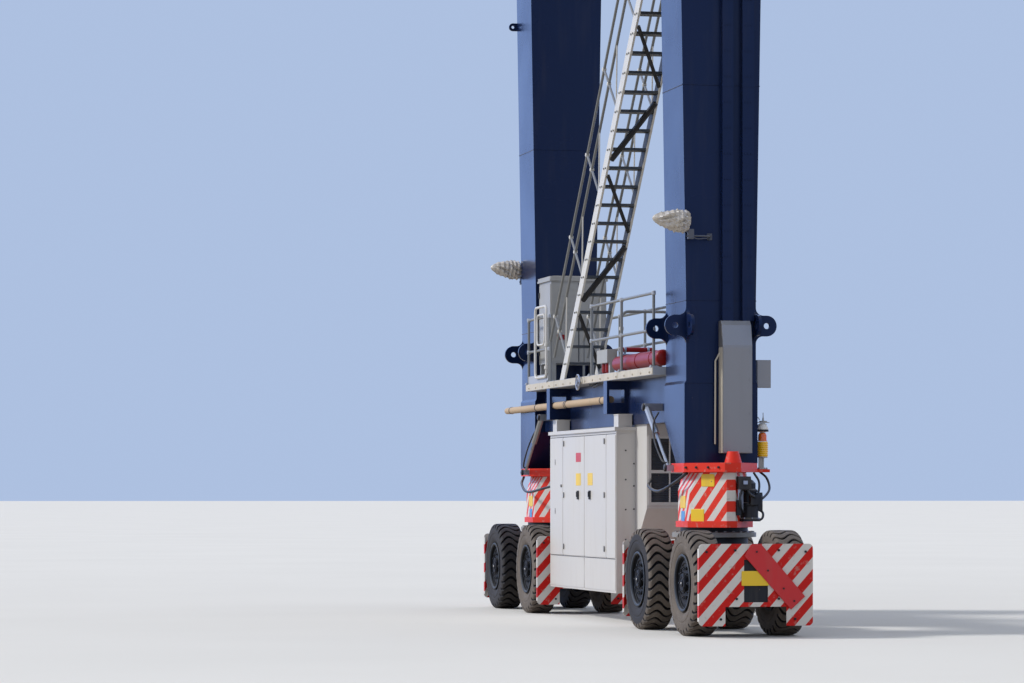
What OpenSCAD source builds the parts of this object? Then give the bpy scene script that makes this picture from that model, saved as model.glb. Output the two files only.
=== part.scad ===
// Rubber tyred gantry crane. Two side frames stand on four bogies that slew, and two box
// girders across the lane carry the trolley, the operator's cab and the container spreader.
// X runs across the lane, Y along the travel and Z up, and the origin is on the ground in the
// middle of the crane. Side A is at -X, and the front is at -Y.

/* [Crane] */
// Distance across the lane between the centres of the side frames
span = 23470; // [21000:10:26000]
// Distance along the travel between the slew axes of one side
wheel_base = 9000; // [8800:10:9400]
// Distance along the travel between the centres of two legs of one side
leg_pitch = 8660; // [8500:10:8700]
// Height of the underside of the main girders
girder_z = 20600; // [19000:10:23000]

/* [Wheels] */
// Outer diameter of a tyre
tyre_d = 1370; // [1300:1:1374]
// Width of a tyre
tyre_w = 390; // [350:1:420]
// Distance between the middles of the two tyres on one axle
tyre_pitch = 1150; // [1110:1:1180]
// Distance between the two axles of a bogie
axle_pitch = 2250; // [2100:1:2300]
// Diameter on which the tyre sits
rim_d = 730; // [680:1:760]
// Diameter of an axle
axle_d = 150; // [120:1:180]

/* [Bogies] */
// Width of the central beam of a bogie
bogie_w = 560; // [500:1:620]
// Height of the underside of the beam
bogie_bottom_z = 450; // [420:1:500]
// Height of the top of the beam
bogie_top_z = 1150; // [1050:1:1250]
// Diameter of the slew ring
slew_ring_d = 900; // [700:1:1000]
// Diameter of the slew pin
slew_pin_d = 300; // [200:1:400]
// Distance from the slew axis to the outer face of a bumper plate
bumper_reach = 1920; // [1880:1:1925]
// Width of a bumper plate
bumper_w = 1520; // [1400:1:1530]
// Height of the lower edge of a bumper plate
bumper_bottom_z = 152; // [100:1:200]
// Height of the upper edge of a bumper plate
bumper_top_z = 1202; // [1150:1:1300]
// Thickness of a bumper plate
bumper_t = 15; // [10:1:20]
// Width of the notch in the lower edge of a bumper plate
notch_w = 815; // [600:1:900]
// Height of the top of that notch
notch_top_z = 397; // [300:1:430]
// Width of the window in a bumper plate
window_w = 320; // [200:1:400]

/* [Turrets] */
// Height of the underside of the turret, which rides on the slew ring
turret_z = 1400; // [1380:1:1450]
// Height of the top of the turret's upper plate, on which the leg stands
foot_z = 2250; // [2200:1:2400]
// Half width of the turret body
turret_half_w = 420; // [360:1:460]
// Half length of the turret body to the tip of its nose
turret_nose = 800; // [700:1:860]

/* [Legs] */
// Length of a leg along the travel
leg_l = 1000; // [900:10:1000]
// Width of a leg below its taper
leg_w = 960; // [900:10:1000]
// Width of a leg under the girder
leg_top_w = 1500; // [1200:10:1600]
// Height at which the leg starts to widen
taper_z = 4400; // [4350:10:6000]
// Height of the seam between the foot and the leg
seam_z = 3340; // [3200:10:3400]
// Length of the foot where it stands on the turret
foot_l = 420; // [380:10:500]
// Height of the centres of the large pin lugs
lug_z = 4070; // [3950:10:4110]
// Height of the centres of the small pin lugs
small_lug_z = 9300; // [9200:10:10000]

/* [Sill beams] */
// Width of a sill beam
sill_w = 700; // [600:10:800]
// Height of the underside of a sill beam
sill_z = 2820; // [2780:10:2900]
// Height of the top of a sill beam
sill_top_z = 3450; // [3400:10:3600]

/* [Platforms and stair] */
// Height of the walking surface above the sill beam
deck_t = 110; // [60:10:150]
// Reach of the platform on the outer side of the frame centre
deck_out = 655; // [620:1:700]
// Reach of the platform on the lane side of the frame centre
deck_in = 485; // [450:1:600]
// Height of a handrail
rail_h = 1000; // [900:10:1200]
// Diameter of the handrail tubes
rail_d = 42; // [34:1:60]
// Slope of the stair in degrees
stair_slope = 48.5; // [46:0.5:52]
// Place of the foot of the stair along the travel
stair_foot_y = 1300; // [1200:10:1500]
// Width of the stair over its stringers
stair_w = 550; // [450:10:600]
// Height of the landing at the head of the stair
landing_z = 8950; // [8900:10:9200]

/* [Cabinets] */
// Height of the underside of the white power cabinet
cabinet_z = 440; // [400:10:600]
// Height of its roof
cabinet_top_z = 2790; // [2700:10:2800]
// Place of its front end along the travel
cabinet_front = -1620; // [-1700:10:-1400]
// Place of its rear end along the travel
cabinet_rear = 2380; // [2000:10:2380]
// Depth of the power cabinet
cabinet_depth = 285; // [200:5:285]
// Height of the underside of the engine housing
housing_z = 1200; // [1000:10:1400]

/* [Girders and trolley] */
// Height of a main girder
girder_h = 1750; // [1500:10:2000]
// Reach of a main girder past the centre of a side frame
girder_overhang = 965; // [900:5:1600]
// Place of the trolley across the lane
trolley_x = -5000; // [-6000:10:6000]
// Height of the underside of the spreader frame
spreader_z = 16800; // [12000:10:17200]
// Length of the spreader over its end beams
spreader_l = 6058; // [6000:1:8000]
// Width of the spreader
spreader_w = 2438; // [2400:1:2500]
// Diameter of a hoist rope
rope_d = 28; // [20:1:40]

/* [Hidden] */
fine = 64;
bar_sides = 8;
tyre_sides = 128;
run_gap = 0.3;
frame_x = span / 2;
axis_y = wheel_base / 2;
leg_y = leg_pitch / 2;
leg_out_y = leg_y + leg_l / 2;
leg_in_y = leg_y - leg_l / 2;
deck_z = sill_top_z + deck_t;
axle_z = tyre_d / 2;
rail_post_pitch = 1500;
bumper_window_z = [454, 1000];
bumper_return = 50;
bumper_round = 60;
tray_h = 80;
top_plate_h = 120;
top_plate_half_w = leg_w / 2 + 25;
shoulder_z = turret_z + 490;
foot_w = leg_w + 46;
wing_reach = 720;
mast_x = 640;
front_a = [-frame_x, -axis_y];
front_b = [frame_x, -axis_y];
rear_a = [-frame_x, axis_y];
rear_b = [frame_x, axis_y];
girder_top = girder_z + girder_h;
girder_l = span + 2 * girder_overhang;
trolley_rail_h = 100;
trolley_rail_y = leg_y - 330;
rail_top = girder_top + trolley_rail_h;
turret_side = 280;
turret_lean = 110;
tray_grow = 30;
wing_t = 40;
cone_place = [50, -720];
cone_r = [115, 75];
cone_h = 150;
slew_pin_l = 240;
lug_t = 40;
lug_r = 138;
lug_reach = 150;
lug_fillet = 100;
lug_hole_d = 80;
small_lug_t = 25;
duct_z = 4130;
duct_x = [[-6, 142], [269, 430]];
flood_z = 5580;
flood_reach = 1010;
housing_half_out = 315;
housing_in = 635;
housing_front = -2220;
housing_rear = 2300;
deck_end_gap = 30;
pole_z = 3190;
pole_d = 100;
pole_l = 6700;
pole_x = deck_out - 97;
bracket_y = [-1200, 2300];
bracket_t = 200;
bracket_z = 2980;
stair_rise = landing_z - deck_z;
stair_run = stair_rise / tan(stair_slope);
stringer_h = 200;
stringer_t = 30;
stringer_flat = stringer_h / sin(stair_slope);
stringer_steep = stringer_h / cos(stair_slope);
stair_head_y = stair_foot_y + stringer_flat - stair_run;
stair_out = 5 - deck_out;
tread_count = 21;
tread_l = 230;
tread_t = 30;
stair_rail_h = 900;
stair_rail_foot_y = stair_foot_y + stringer_flat + stair_rail_h * sin(stair_slope);
ladder_x = 335;
landing_t = 100;
landing_out = -715;
bay = [60, 785];
bay_l = 1000;
ladder_w = 450;
ladder_off = 180;
rung_pitch = 300;
cage_r = 350;
walk_w = 700;
walk_drop = 450;
trolley_z = rail_top + 250;
trolley_h = 600;
trolley_top = trolley_z + trolley_h;
trolley_half_l = 2800;
rope_x = 700;
rope_y = 900;
cab_x = [2200, 4200];
cab_y = [-3500, -1400];
cab_drop = 1600;
cab_z = girder_z - cab_drop;
cab_h = 2400;
spreader_h = 450;
headblock_h = 400;
sheave_h = 500;
small_lug_r = 62;
small_lug_fillet = 45;
small_lug_hole_d = 46;
strut_x = -sill_w / 2 - 210;
strut_top = [strut_x, 700 - leg_in_y, sill_z + 210];
strut_tube_d = 90;
strut_rod_d = 46;
duct_t = 90;
cover_x = [-34, 369];
cover_t = 200;
cover_z = foot_z + 130;
side_plate = [190, 60, 370];
flood_arm_gap = 110;
flood_r = [110, 150];
flood_l = 390;
roof_lip = 30;
roof_vent = [250, 170];
housing_chamfer = [470, 440];
rail_inset = 30;
control_stand = 310;
control_h = 1270;
control_y = [2960, 3750];
plug_y = [-1100, -500];
plug_z = [160, 350];
plug_d = 90;
cylinder_r = 110;
cylinder_l = 2350;
cylinder_y = -3650;
bracket_drop = 500;
ladder_above = 1100;
cage_start = 2200;
hoop_pitch = 900;
hoop_h = 50;
girder_cut = [150, 400];
tie_inset = 450;
tie_w = 500;
tie_h = 800;
tie_drop = 200;
walk_t = 60;
walk_post_pitch = 2100;
wheel_d = 500;
wheel_w = 120;
house_half_l = 2200;
house_half_w = 2300;
house_h = 2000;
roof_rise = 250;
cab_sill = 850;
glass_recess = 25;
headblock = [750, 1100];

// Both side frames, where the child is drawn about the centre of side A.
module sides() {
    translate([-frame_x, 0, 0]) children();
    mirror([1, 0, 0]) translate([-frame_x, 0, 0]) children();
}

// Front and rear, where the child is drawn at the front.
module ends() {
    children();
    mirror([0, 1, 0]) children();
}

// Box between two opposite corners.
module block(low, high) {
    translate(low) cube(high - low);
}

// Straight tube of few sides between two points.
module bar(start, end, d) {
    along = end - start;
    length = norm(along);
    translate(start)
        rotate([0, acos(along[2] / length), atan2(along[1], along[0])])
            cylinder(h = length, d = d, $fn = bar_sides);
}

// Plate drawn in the XZ plane, from y = 0 back to y = t.
module plate_xz(t) {
    rotate([90, 0, 0]) mirror([0, 0, 1]) linear_extrude(height = t) children();
}

// Plate drawn in the YZ plane, from x = 0 on to x = t.
module plate_yz(t) {
    rotate([90, 0, 90]) linear_extrude(height = t) children();
}

// Rectangle with round corners.
module round_rectangle(low, high, r) {
    translate([low[0] + r, low[1]]) square([high[0] - low[0] - 2 * r, high[1] - low[1]]);
    translate([low[0], low[1] + r]) square([high[0] - low[0], high[1] - low[1] - 2 * r]);
    for (x = [low[0] + r, high[0] - r], y = [low[1] + r, high[1] - r])
        translate([x, y]) circle(r = r, $fn = fine);
}

// Half width of a leg at a height above the taper.
function leg_half_w(z) =
    leg_w / 2 + (leg_top_w - leg_w) / 2 * max(0, z - taper_z) / (girder_z - taper_z);

// Box girder leg of the front corner, about the frame centre.
module leg() {
    color("midnightblue") intersection() {
        translate([0, -leg_out_y, 0]) plate_xz(leg_l) polygon([
            [-foot_w / 2, foot_z], [foot_w / 2, foot_z],
            [foot_w / 2, seam_z - 40], [leg_w / 2, seam_z],
            [leg_w / 2, taper_z], [leg_top_w / 2, girder_z],
            [-leg_top_w / 2, girder_z], [-leg_w / 2, taper_z],
            [-leg_w / 2, seam_z], [-foot_w / 2, seam_z - 40]
        ]);
        translate([-leg_top_w, 0, 0]) plate_yz(2 * leg_top_w) polygon([
            [-leg_out_y, foot_z], [-leg_out_y + foot_l, foot_z], [-leg_in_y, sill_z],
            [-leg_in_y, girder_z], [-leg_out_y, girder_z]
        ]);
    }
}

module front_a_leg() { translate([-frame_x, 0, 0]) leg(); }
module rear_a_leg() { translate([-frame_x, 0, 0]) mirror([0, 1, 0]) leg(); }
module front_b_leg() { translate([frame_x, 0, 0]) leg(); }
module rear_b_leg() { translate([frame_x, 0, 0]) mirror([0, 1, 0]) leg(); }

// Beam along the travel between the two legs of a side.
module sill_beams() {
    color("royalblue") sides()
        block([-sill_w / 2, -leg_in_y, sill_z], [sill_w / 2, leg_in_y, sill_top_z]);
}

// Long hexagon of the turret seen from above.
module turret_outline(grow, nose_half_w) {
    half_w = turret_half_w + grow;
    nose = turret_nose + grow;
    side = turret_side + grow / 3;
    polygon([
        [-half_w, -side], [-nose_half_w, -nose], [nose_half_w, -nose], [half_w, -side],
        [half_w, side], [nose_half_w, nose], [-nose_half_w, nose], [-half_w, side]
    ]);
}

// Striped housing under a leg, with the pin on which the bogie slews.
module turret() {
    tray_top = turret_z + tray_h;
    plate_z = foot_z - top_plate_h;
    translate([0, 0, turret_z]) linear_extrude(height = tray_h) turret_outline(tray_grow, 70);
    intersection() {
        translate([0, 0, tray_top]) linear_extrude(height = plate_z - tray_top)
            turret_outline(0, 60);
        translate([0, -turret_nose, 0]) plate_xz(2 * turret_nose) polygon([
            [-turret_half_w, tray_top], [turret_half_w, tray_top],
            [turret_half_w, shoulder_z], [turret_half_w - turret_lean, plate_z],
            [turret_lean - turret_half_w, plate_z], [-turret_half_w, shoulder_z]
        ]);
    }
    translate([0, 0, plate_z]) linear_extrude(height = top_plate_h)
        turret_outline(top_plate_half_w - turret_half_w, 110);
    block([top_plate_half_w - 60, -180, plate_z], [wing_reach, 40, plate_z + wing_t]);
    translate([cone_place[0], cone_place[1], foot_z])
        cylinder(h = cone_h, r1 = cone_r[0], r2 = cone_r[1], $fn = fine);
    translate([0, 0, turret_z - slew_pin_l])
        cylinder(h = slew_pin_l, d = slew_pin_d, $fn = fine);
}

module turrets() {
    color("firebrick") sides() ends() translate([0, -axis_y, 0]) turret();
}

// Outline of a pin lug that reaches along +X from its plate, without its hole.
module lug_outline(r, reach, fillet) {
    half_h = r + fillet - 2;
    difference() {
        union() {
            translate([reach, 0]) circle(r = r, $fn = fine);
            translate([0, -half_h]) square([reach, 2 * half_h]);
        }
        for (s = [-1, 1]) translate([fillet, s * (r + fillet)]) circle(r = fillet, $fn = fine);
        for (s = [0, 1]) mirror([0, s]) translate([fillet, r]) square([reach, half_h]);
    }
}

module lug(r, reach, fillet, hole_d) {
    difference() {
        lug_outline(r, reach, fillet);
        translate([reach, 0]) circle(d = hole_d, $fn = fine);
    }
}

// Two lugs across each corner and one along the travel at each outer corner of a leg.
module pin_lugs() {
    color("midnightblue") sides() ends() {
        for (s = [0, 1]) mirror([s, 0, 0]) {
            for (y = [-leg_out_y, -leg_in_y - lug_t])
                translate([leg_w / 2, y, lug_z]) plate_xz(lug_t)
                    lug(lug_r, lug_reach, lug_fillet, lug_hole_d);
            translate([leg_w / 2 - lug_t, -leg_out_y, lug_z]) plate_yz(lug_t)
                mirror([1, 0]) lug(lug_r, lug_reach, lug_fillet, lug_hole_d);
            translate([leg_half_w(small_lug_z) - 80, -leg_out_y - small_lug_t, small_lug_z])
                plate_xz(small_lug_t)
                    lug(small_lug_r, lug_reach, small_lug_fillet, small_lug_hole_d);
        }
    }
}

// Slanting strut from the side of the sill beam down to the turret.
module foot_struts() {
    x = strut_x;
    top = strut_top;
    bottom = [x, -axis_y + 240, foot_z - top_plate_h / 2];
    middle = top + (bottom - top) * 0.45;
    color("slategray") sides() ends() union() {
        bar(top, middle, strut_tube_d);
        bar(middle, bottom, strut_rod_d);
        block([x - 40, top[1] - 50, top[2] - 50], [-sill_w / 2, top[1] + 50, top[2] + 50]);
        block([x - 40, bottom[1] - 45, bottom[2] - 40],
            [-top_plate_half_w, bottom[1] + 45, bottom[2] + 40]);
    }
}

// Two flat cable ducts up the outer face of the front leg of side A, and of the rear of side B.
module cable_ducts() {
    color("midnightblue") for (turn = [0, 180]) rotate([0, 0, turn])
        translate([-frame_x, -leg_out_y, 0])
            for (x = duct_x) block([x[0], -duct_t, duct_z], [x[1], 0, girder_z - 200]);
}

// Bare steel cover over the lower ends of the cable ducts, and the plate beside it.
module duct_cover() {
    color("silver") for (turn = [0, 180]) rotate([0, 0, turn])
        translate([-frame_x, -leg_out_y, 0]) {
            translate([cover_x[0], 0, 0]) plate_yz(cover_x[1] - cover_x[0]) polygon([
                [-cover_t, cover_z], [0, cover_z], [0, duct_z],
                [-duct_t, duct_z], [-150, duct_z - 60], [-cover_t, duct_z - 330]
            ]);
            translate([foot_w / 2, 20, seam_z - 90]) cube(side_plate);
        }
}

// Warning beacon and camera on the wing of each turret, one turned profile.
module beacon_masts() {
    base_z = foot_z - top_plate_h + wing_t;
    color("orange") sides() ends() translate([mast_x, -axis_y - 100, base_z])
        rotate_extrude($fn = fine) polygon([
            [0, 0], [60, 0], [60, 15], [22, 15], [22, 170], [82, 170], [82, 370], [60, 375],
            [60, 490], [35, 495], [35, 530], [78, 545], [82, 590], [62, 640], [30, 665],
            [12, 670], [12, 760], [0, 760]
        ]);
}

// Floodlight still in its wrapping, on an arm from the outer face of each leg.
module floodlights() {
    arm_y = -leg_out_y - flood_arm_gap;
    color("beige") sides() ends() union() {
        block([-260, -leg_out_y - 20, flood_z - 120], [-60, -leg_out_y, flood_z + 80]);
        block([-200, arm_y - 40, flood_z - 60], [-120, -leg_out_y, flood_z + 20]);
        bar([-100, arm_y, flood_z - 20], [-620, arm_y, flood_z - 20], 60);
        translate([-flood_reach + flood_r[0], arm_y, flood_z]) {
            rotate([0, 90, 0]) cylinder(h = flood_l, r1 = flood_r[0], r2 = flood_r[1], $fn = fine);
            sphere(r = flood_r[0], $fn = fine);
        }
    }
}

// White cabinet on the outer side, with a lipped roof and two small vents on it.
module power_cabinets() {
    out = -housing_half_out - cabinet_depth;
    color("white") sides() {
        block([out, cabinet_front, cabinet_z], [-housing_half_out, cabinet_rear, cabinet_top_z]);
        block([out - roof_lip, cabinet_front - roof_lip, cabinet_top_z - 50],
            [-housing_half_out, cabinet_rear + 20, cabinet_top_z]);
        for (y = [cabinet_front + 20, cabinet_rear - 20 - roof_vent[0]])
            block([out + 35, y, cabinet_top_z],
                [-sill_w / 2 - 15, y + roof_vent[0], cabinet_top_z + roof_vent[1]]);
    }
}

// Engine housing hung below the sill beam, sloped up under its louvres.
module engine_housings() {
    color("white") sides() translate([-housing_half_out, 0, 0])
        plate_yz(housing_half_out + housing_in) polygon([
            [housing_front, sill_z], [housing_front, housing_z + housing_chamfer[1]],
            [housing_front + housing_chamfer[0], housing_z],
            [housing_rear - housing_chamfer[0], housing_z],
            [housing_rear, housing_z + housing_chamfer[1]], [housing_rear, sill_z]
        ]);
}

module platform_decks() {
    color("gainsboro") sides() block([-deck_out, deck_end_gap - leg_in_y, sill_top_z],
        [deck_in, leg_in_y - deck_end_gap, deck_z]);
}

// Handrail along Y with posts, a knee rail and a top rail.
module rail_y(x, from, to, z) {
    count = max(1, round((to - from) / rail_post_pitch));
    union() {
        for (i = [0:count]) {
            y = from + (to - from) * i / count;
            bar([x, y, z], [x, y, z + rail_h], rail_d);
        }
        for (h = [rail_h / 2, rail_h])
            bar([x, from, z + h], [x, to, z + h], rail_d);
    }
}

module platform_rails() {
    reach = leg_in_y - 100;
    color("lightgray") sides() {
        rail_y(deck_in - rail_inset, -reach, reach, deck_z);
        rail_y(rail_inset - deck_out, -reach, -300, deck_z);
        rail_y(rail_inset - deck_out, stair_rail_foot_y + 120, reach, deck_z);
    }
}

// Open box brackets that carry the outer edge of the platform from the sill beam.
module outrigger_brackets() {
    color("royalblue") sides() for (y = bracket_y) difference() {
        block([-deck_out, y - bracket_t / 2, bracket_z],
            [-sill_w / 2, y + bracket_t / 2, sill_top_z]);
        block([-deck_out + 35, y - bracket_t, pole_z - pole_d / 2],
            [-deck_out + 255, y + bracket_t, pole_z + 140]);
    }
}

// Wrapped pole that lies in the brackets of side A and runs on past the rear leg.
module sill_pole() {
    color("tan") translate([-frame_x - pole_x, bracket_y[0] + 50, pole_z + run_gap])
        rotate([-90, 0, 0]) cylinder(h = pole_l, d = pole_d, $fn = fine);
}

// Grey electrical cabinet on its stand beside the rear leg of side A.
module control_cabinet() {
    top = control_stand + control_h;
    color("darkgray") translate([-frame_x, 0, deck_z]) union() {
        block([-450, control_y[0], control_stand], [deck_in - 60, control_y[1], top]);
        block([-480, control_y[0] - 30, top], [deck_in - 40, control_y[1] + 20, top + 30]);
        for (x = [-440, deck_in - 140], y = [control_y[0] + 10, control_y[1] - 80])
            block([x, y, 0], [x + 70, y + 70, control_stand]);
    }
}

// Socket box on a post at the platform's edge, with two plugs below it.
module plug_box() {
    color("lightgray") translate([-frame_x, 0, deck_z]) union() {
        block([-600, plug_y[0], plug_z[0]], [-450, plug_y[1], plug_z[1]]);
        block([-560, plug_y[0], 0], [-490, plug_y[0] + 70, plug_z[0]]);
        for (y = [plug_y[0] + 200, plug_y[1] - 200])
            translate([-525, y, 40]) cylinder(h = plug_z[0] - 40, d = plug_d, $fn = fine);
    }
}

// Red pressure cylinder lying on the platform, on two low cradles.
module red_cylinder() {
    color("firebrick") translate([-frame_x - 470, cylinder_y, deck_z]) union() {
        translate([0, 0, cylinder_r + 20]) rotate([-90, 0, 0])
            cylinder(h = cylinder_l, r = cylinder_r, $fn = fine);
        for (y = [350, cylinder_l - 500]) block([-80, y, 0], [80, y + 60, 80]);
    }
}

// Inclined stair from the platform up to the landing. It rises towards the front.
module stair_flight() {
    color("whitesmoke") translate([-frame_x + stair_out, 0, 0]) union() {
        for (x = [0, stair_w - stringer_t]) translate([x, 0, 0]) plate_yz(stringer_t) polygon([
            [stair_foot_y, deck_z], [stair_foot_y + stringer_flat, deck_z],
            [stair_head_y, landing_z], [stair_head_y, landing_z - stringer_steep]
        ]);
        for (i = [1:tread_count]) {
            rise = stair_rise * i / (tread_count + 1);
            y = stair_foot_y + stringer_flat / 2 - rise / tan(stair_slope);
            block([stringer_t, y - tread_l / 2, deck_z + rise - tread_t],
                [stair_w - stringer_t, y + tread_l / 2, deck_z + rise]);
        }
    }
}

// Point a way t up the stringer's upper edge and a height h square off it.
function stair_point(x, t, h) = [
    x,
    stair_foot_y + stringer_flat - t * cos(stair_slope) + h * sin(stair_slope),
    deck_z + t * sin(stair_slope) + h * cos(stair_slope)
];

module stair_rails() {
    length = stair_rise / sin(stair_slope);
    post_d = rail_d - 6;
    color("whitesmoke") translate([-frame_x + stair_out, 0, 0])
        for (x = [stringer_t / 2, stair_w - stringer_t / 2]) union() {
            for (t = [500:rail_post_pitch:length])
                bar(stair_point(x, t, 0), stair_point(x, t, stair_rail_h), post_d);
            for (h = [stair_rail_h * 0.6, stair_rail_h])
                bar(stair_point(x, 0, h), stair_point(x, length - 500, h), rail_d);
            foot = stair_point(x, 0, stair_rail_h);
            bar([x, foot[1] - 20, deck_z], [x, foot[1] - 20, foot[2] + 10], post_d);
        }
}

// Landing on the rear face of the front leg, with a deeper bay under the ladder.
module stair_landing() {
    low = landing_z - landing_t;
    bay_y = bay_l - leg_in_y;
    color("whitesmoke") translate([-frame_x, 0, 0]) union() {
        block([landing_out, -leg_in_y, low], [bay[1], stair_head_y, landing_z]);
        block([bay[0], -leg_in_y, low], [bay[1], bay_y, landing_z]);
        for (x = [-400, 300]) translate([x, 0, 0]) plate_yz(20) polygon([
            [-leg_in_y, low], [stair_head_y - 60, low], [-leg_in_y, low - bracket_drop]
        ]);
        rail_y(landing_out + 25, -leg_in_y + 40, stair_head_y - 40, landing_z);
        rail_y(bay[1] - 25, -leg_in_y + 40, bay_y - 25, landing_z);
        for (h = [rail_h / 2, rail_h])
            bar([bay[0] + 25, bay_y - 25, landing_z + h],
                [bay[1] - 25, bay_y - 25, landing_z + h], rail_d);
        bar([bay[0] + 25, bay_y - 25, landing_z],
            [bay[0] + 25, bay_y - 25, landing_z + rail_h], rail_d);
    }
}

// Ladder with a safety cage from the landing up to the top of the girder.
module caged_ladder() {
    top = girder_top + ladder_above;
    cage_low = landing_z + cage_start;
    stile_y = ladder_off - leg_in_y;
    cage_y = stile_y + sqrt(cage_r * cage_r - ladder_w * ladder_w / 4);
    color("whitesmoke") translate([-frame_x + ladder_x, 0, 0]) union() {
        for (s = [-1, 1]) {
            block([s * ladder_w / 2 - 10, stile_y - 30, landing_z],
                [s * ladder_w / 2 + 10, stile_y + 30, top]);
            for (z = [landing_z + 900:2700:girder_top - 200])
                block([s * ladder_w / 2 - 10, -leg_in_y, z],
                    [s * ladder_w / 2 + 10, stile_y, z + 60]);
        }
        for (z = [landing_z + rung_pitch:rung_pitch:girder_top])
            translate([-ladder_w / 2, stile_y, z]) rotate([0, 90, 0])
                cylinder(h = ladder_w, d = 26, $fn = bar_sides);
        for (z = [cage_low:hoop_pitch:top - hoop_h - 10]) intersection() {
            translate([0, cage_y, z]) difference() {
                cylinder(h = hoop_h, r = cage_r, $fn = fine);
                translate([0, 0, -1]) cylinder(h = hoop_h + 2, r = cage_r - 8, $fn = fine);
            }
            block([-cage_r, stile_y, z], [cage_r, cage_y + cage_r, z + hoop_h]);
        }
        for (a = [-20, 35, 90, 145, 200])
            translate([0, cage_y, cage_low]) rotate([0, 0, a])
                translate([cage_r - 7, -20, 0]) cube([6, 40, top - 10 - cage_low]);
    }
}

module main_girders() {
    end = girder_l / 2;
    color("midnightblue") ends() translate([0, -leg_out_y, 0]) plate_xz(leg_l) polygon([
        [-end + girder_cut[0], girder_z], [end - girder_cut[0], girder_z],
        [end, girder_z + girder_cut[1]], [end, girder_top],
        [-end, girder_top], [-end, girder_z + girder_cut[1]]
    ]);
}

module girder_ties() {
    top = girder_top - tie_drop;
    color("midnightblue") for (s = [-1, 1]) translate([s * (girder_l / 2 - tie_inset), 0, 0])
        block([-tie_w / 2, -leg_in_y, top - tie_h], [tie_w / 2, leg_in_y, top]);
}

module trolley_rails() {
    end = girder_l / 2 - 200;
    color("dimgray") ends() translate([0, -trolley_rail_y, girder_top]) union() {
        block([-end, -60, 0], [end, 60, 25]);
        block([-end, -35, 25], [end, 35, trolley_rail_h]);
    }
}

// Walkway with its handrail along the outer side of each girder.
module girder_walkways() {
    end = girder_l / 2 - 100;
    count = round(2 * end / walk_post_pitch);
    out = -leg_out_y - walk_w;
    z = girder_top - walk_drop;
    color("lightgray") ends() union() {
        block([-end, out, z - walk_t], [end, -leg_out_y, z]);
        for (i = [0:count]) {
            x = -end + 25 + (2 * end - 50) * i / count;
            bar([x, out + 25, z], [x, out + 25, z + rail_h], rail_d);
            translate([x - 10, 0, 0]) plate_yz(20) polygon([
                [out, z - walk_t], [-leg_out_y, z - walk_t], [-leg_out_y, z - walk_t - bracket_drop]
            ]);
        }
        for (h = [rail_h / 2, rail_h])
            bar([-end, out + 25, z + h], [end, out + 25, z + h], rail_d);
    }
}

// Trolley frame: two side beams on wheels, two cross beams and the beams that hold the cab.
module trolley_frame() {
    cross_y = trolley_rail_y - 200;
    color("gold") translate([trolley_x, 0, 0]) union() {
        ends() {
            block([-trolley_half_l, -trolley_rail_y - 200, trolley_z],
                [trolley_half_l, -cross_y, trolley_top]);
            for (x = [-trolley_half_l + 400, trolley_half_l - 400])
                translate([x, -trolley_rail_y - wheel_w / 2, rail_top + wheel_d / 2])
                    rotate([-90, 0, 0]) cylinder(h = wheel_w, d = wheel_d, $fn = fine);
        }
        for (s = [-1, 1])
            block([s * rope_x - 225, -cross_y, trolley_z], [s * rope_x + 225, cross_y, trolley_top]);
        for (x = [-trolley_half_l + 100, trolley_half_l - 400])
            block([x, -cross_y, trolley_z + 200], [x + 300, cross_y, trolley_top]);
        for (y = [cab_y[0] + 50, cab_y[1] - 250])
            block([-rope_x, y, trolley_z + 100], [cab_x[1], y + 200, trolley_top]);
        for (x = [cab_x[0] + 100, cab_x[1] - 200], y = [cab_y[0] + 100, cab_y[1] - 200])
            block([x, y, cab_z + cab_h], [x + 100, y + 100, trolley_z + 100]);
    }
}

module hoist_house() {
    w = house_half_w;
    color("white") translate([trolley_x - house_half_l, 0, trolley_top])
        plate_yz(2 * house_half_l)
            polygon([[-w, 0], [w, 0], [w, house_h], [0, house_h + roof_rise], [-w, house_h]]);
}

// Operator's cab, sloped in at the front of its floor and glazed on all sides.
module operator_cab() {
    glass_top = cab_h - 250;
    color("white") translate([trolley_x, 0, cab_z]) difference() {
        translate([0, cab_y[0], 0]) plate_xz(cab_y[1] - cab_y[0]) polygon([
            [cab_x[0], cab_h], [cab_x[0], 700], [cab_x[0] + 500, 0], [cab_x[1], 0],
            [cab_x[1], cab_h]
        ]);
        for (y = [cab_y[0] - 1, cab_y[1] - glass_recess])
            block([cab_x[0] + 150, y, cab_sill], [cab_x[1] - 300, y + glass_recess + 1, glass_top]);
        block([cab_x[0] - 1, cab_y[0] + 150, cab_sill],
            [cab_x[0] + glass_recess, cab_y[1] - 150, glass_top]);
        block([cab_x[1] - glass_recess, cab_y[0] + 500, cab_sill],
            [cab_x[1] + 1, cab_y[1] - 500, glass_top]);
    }
}

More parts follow.
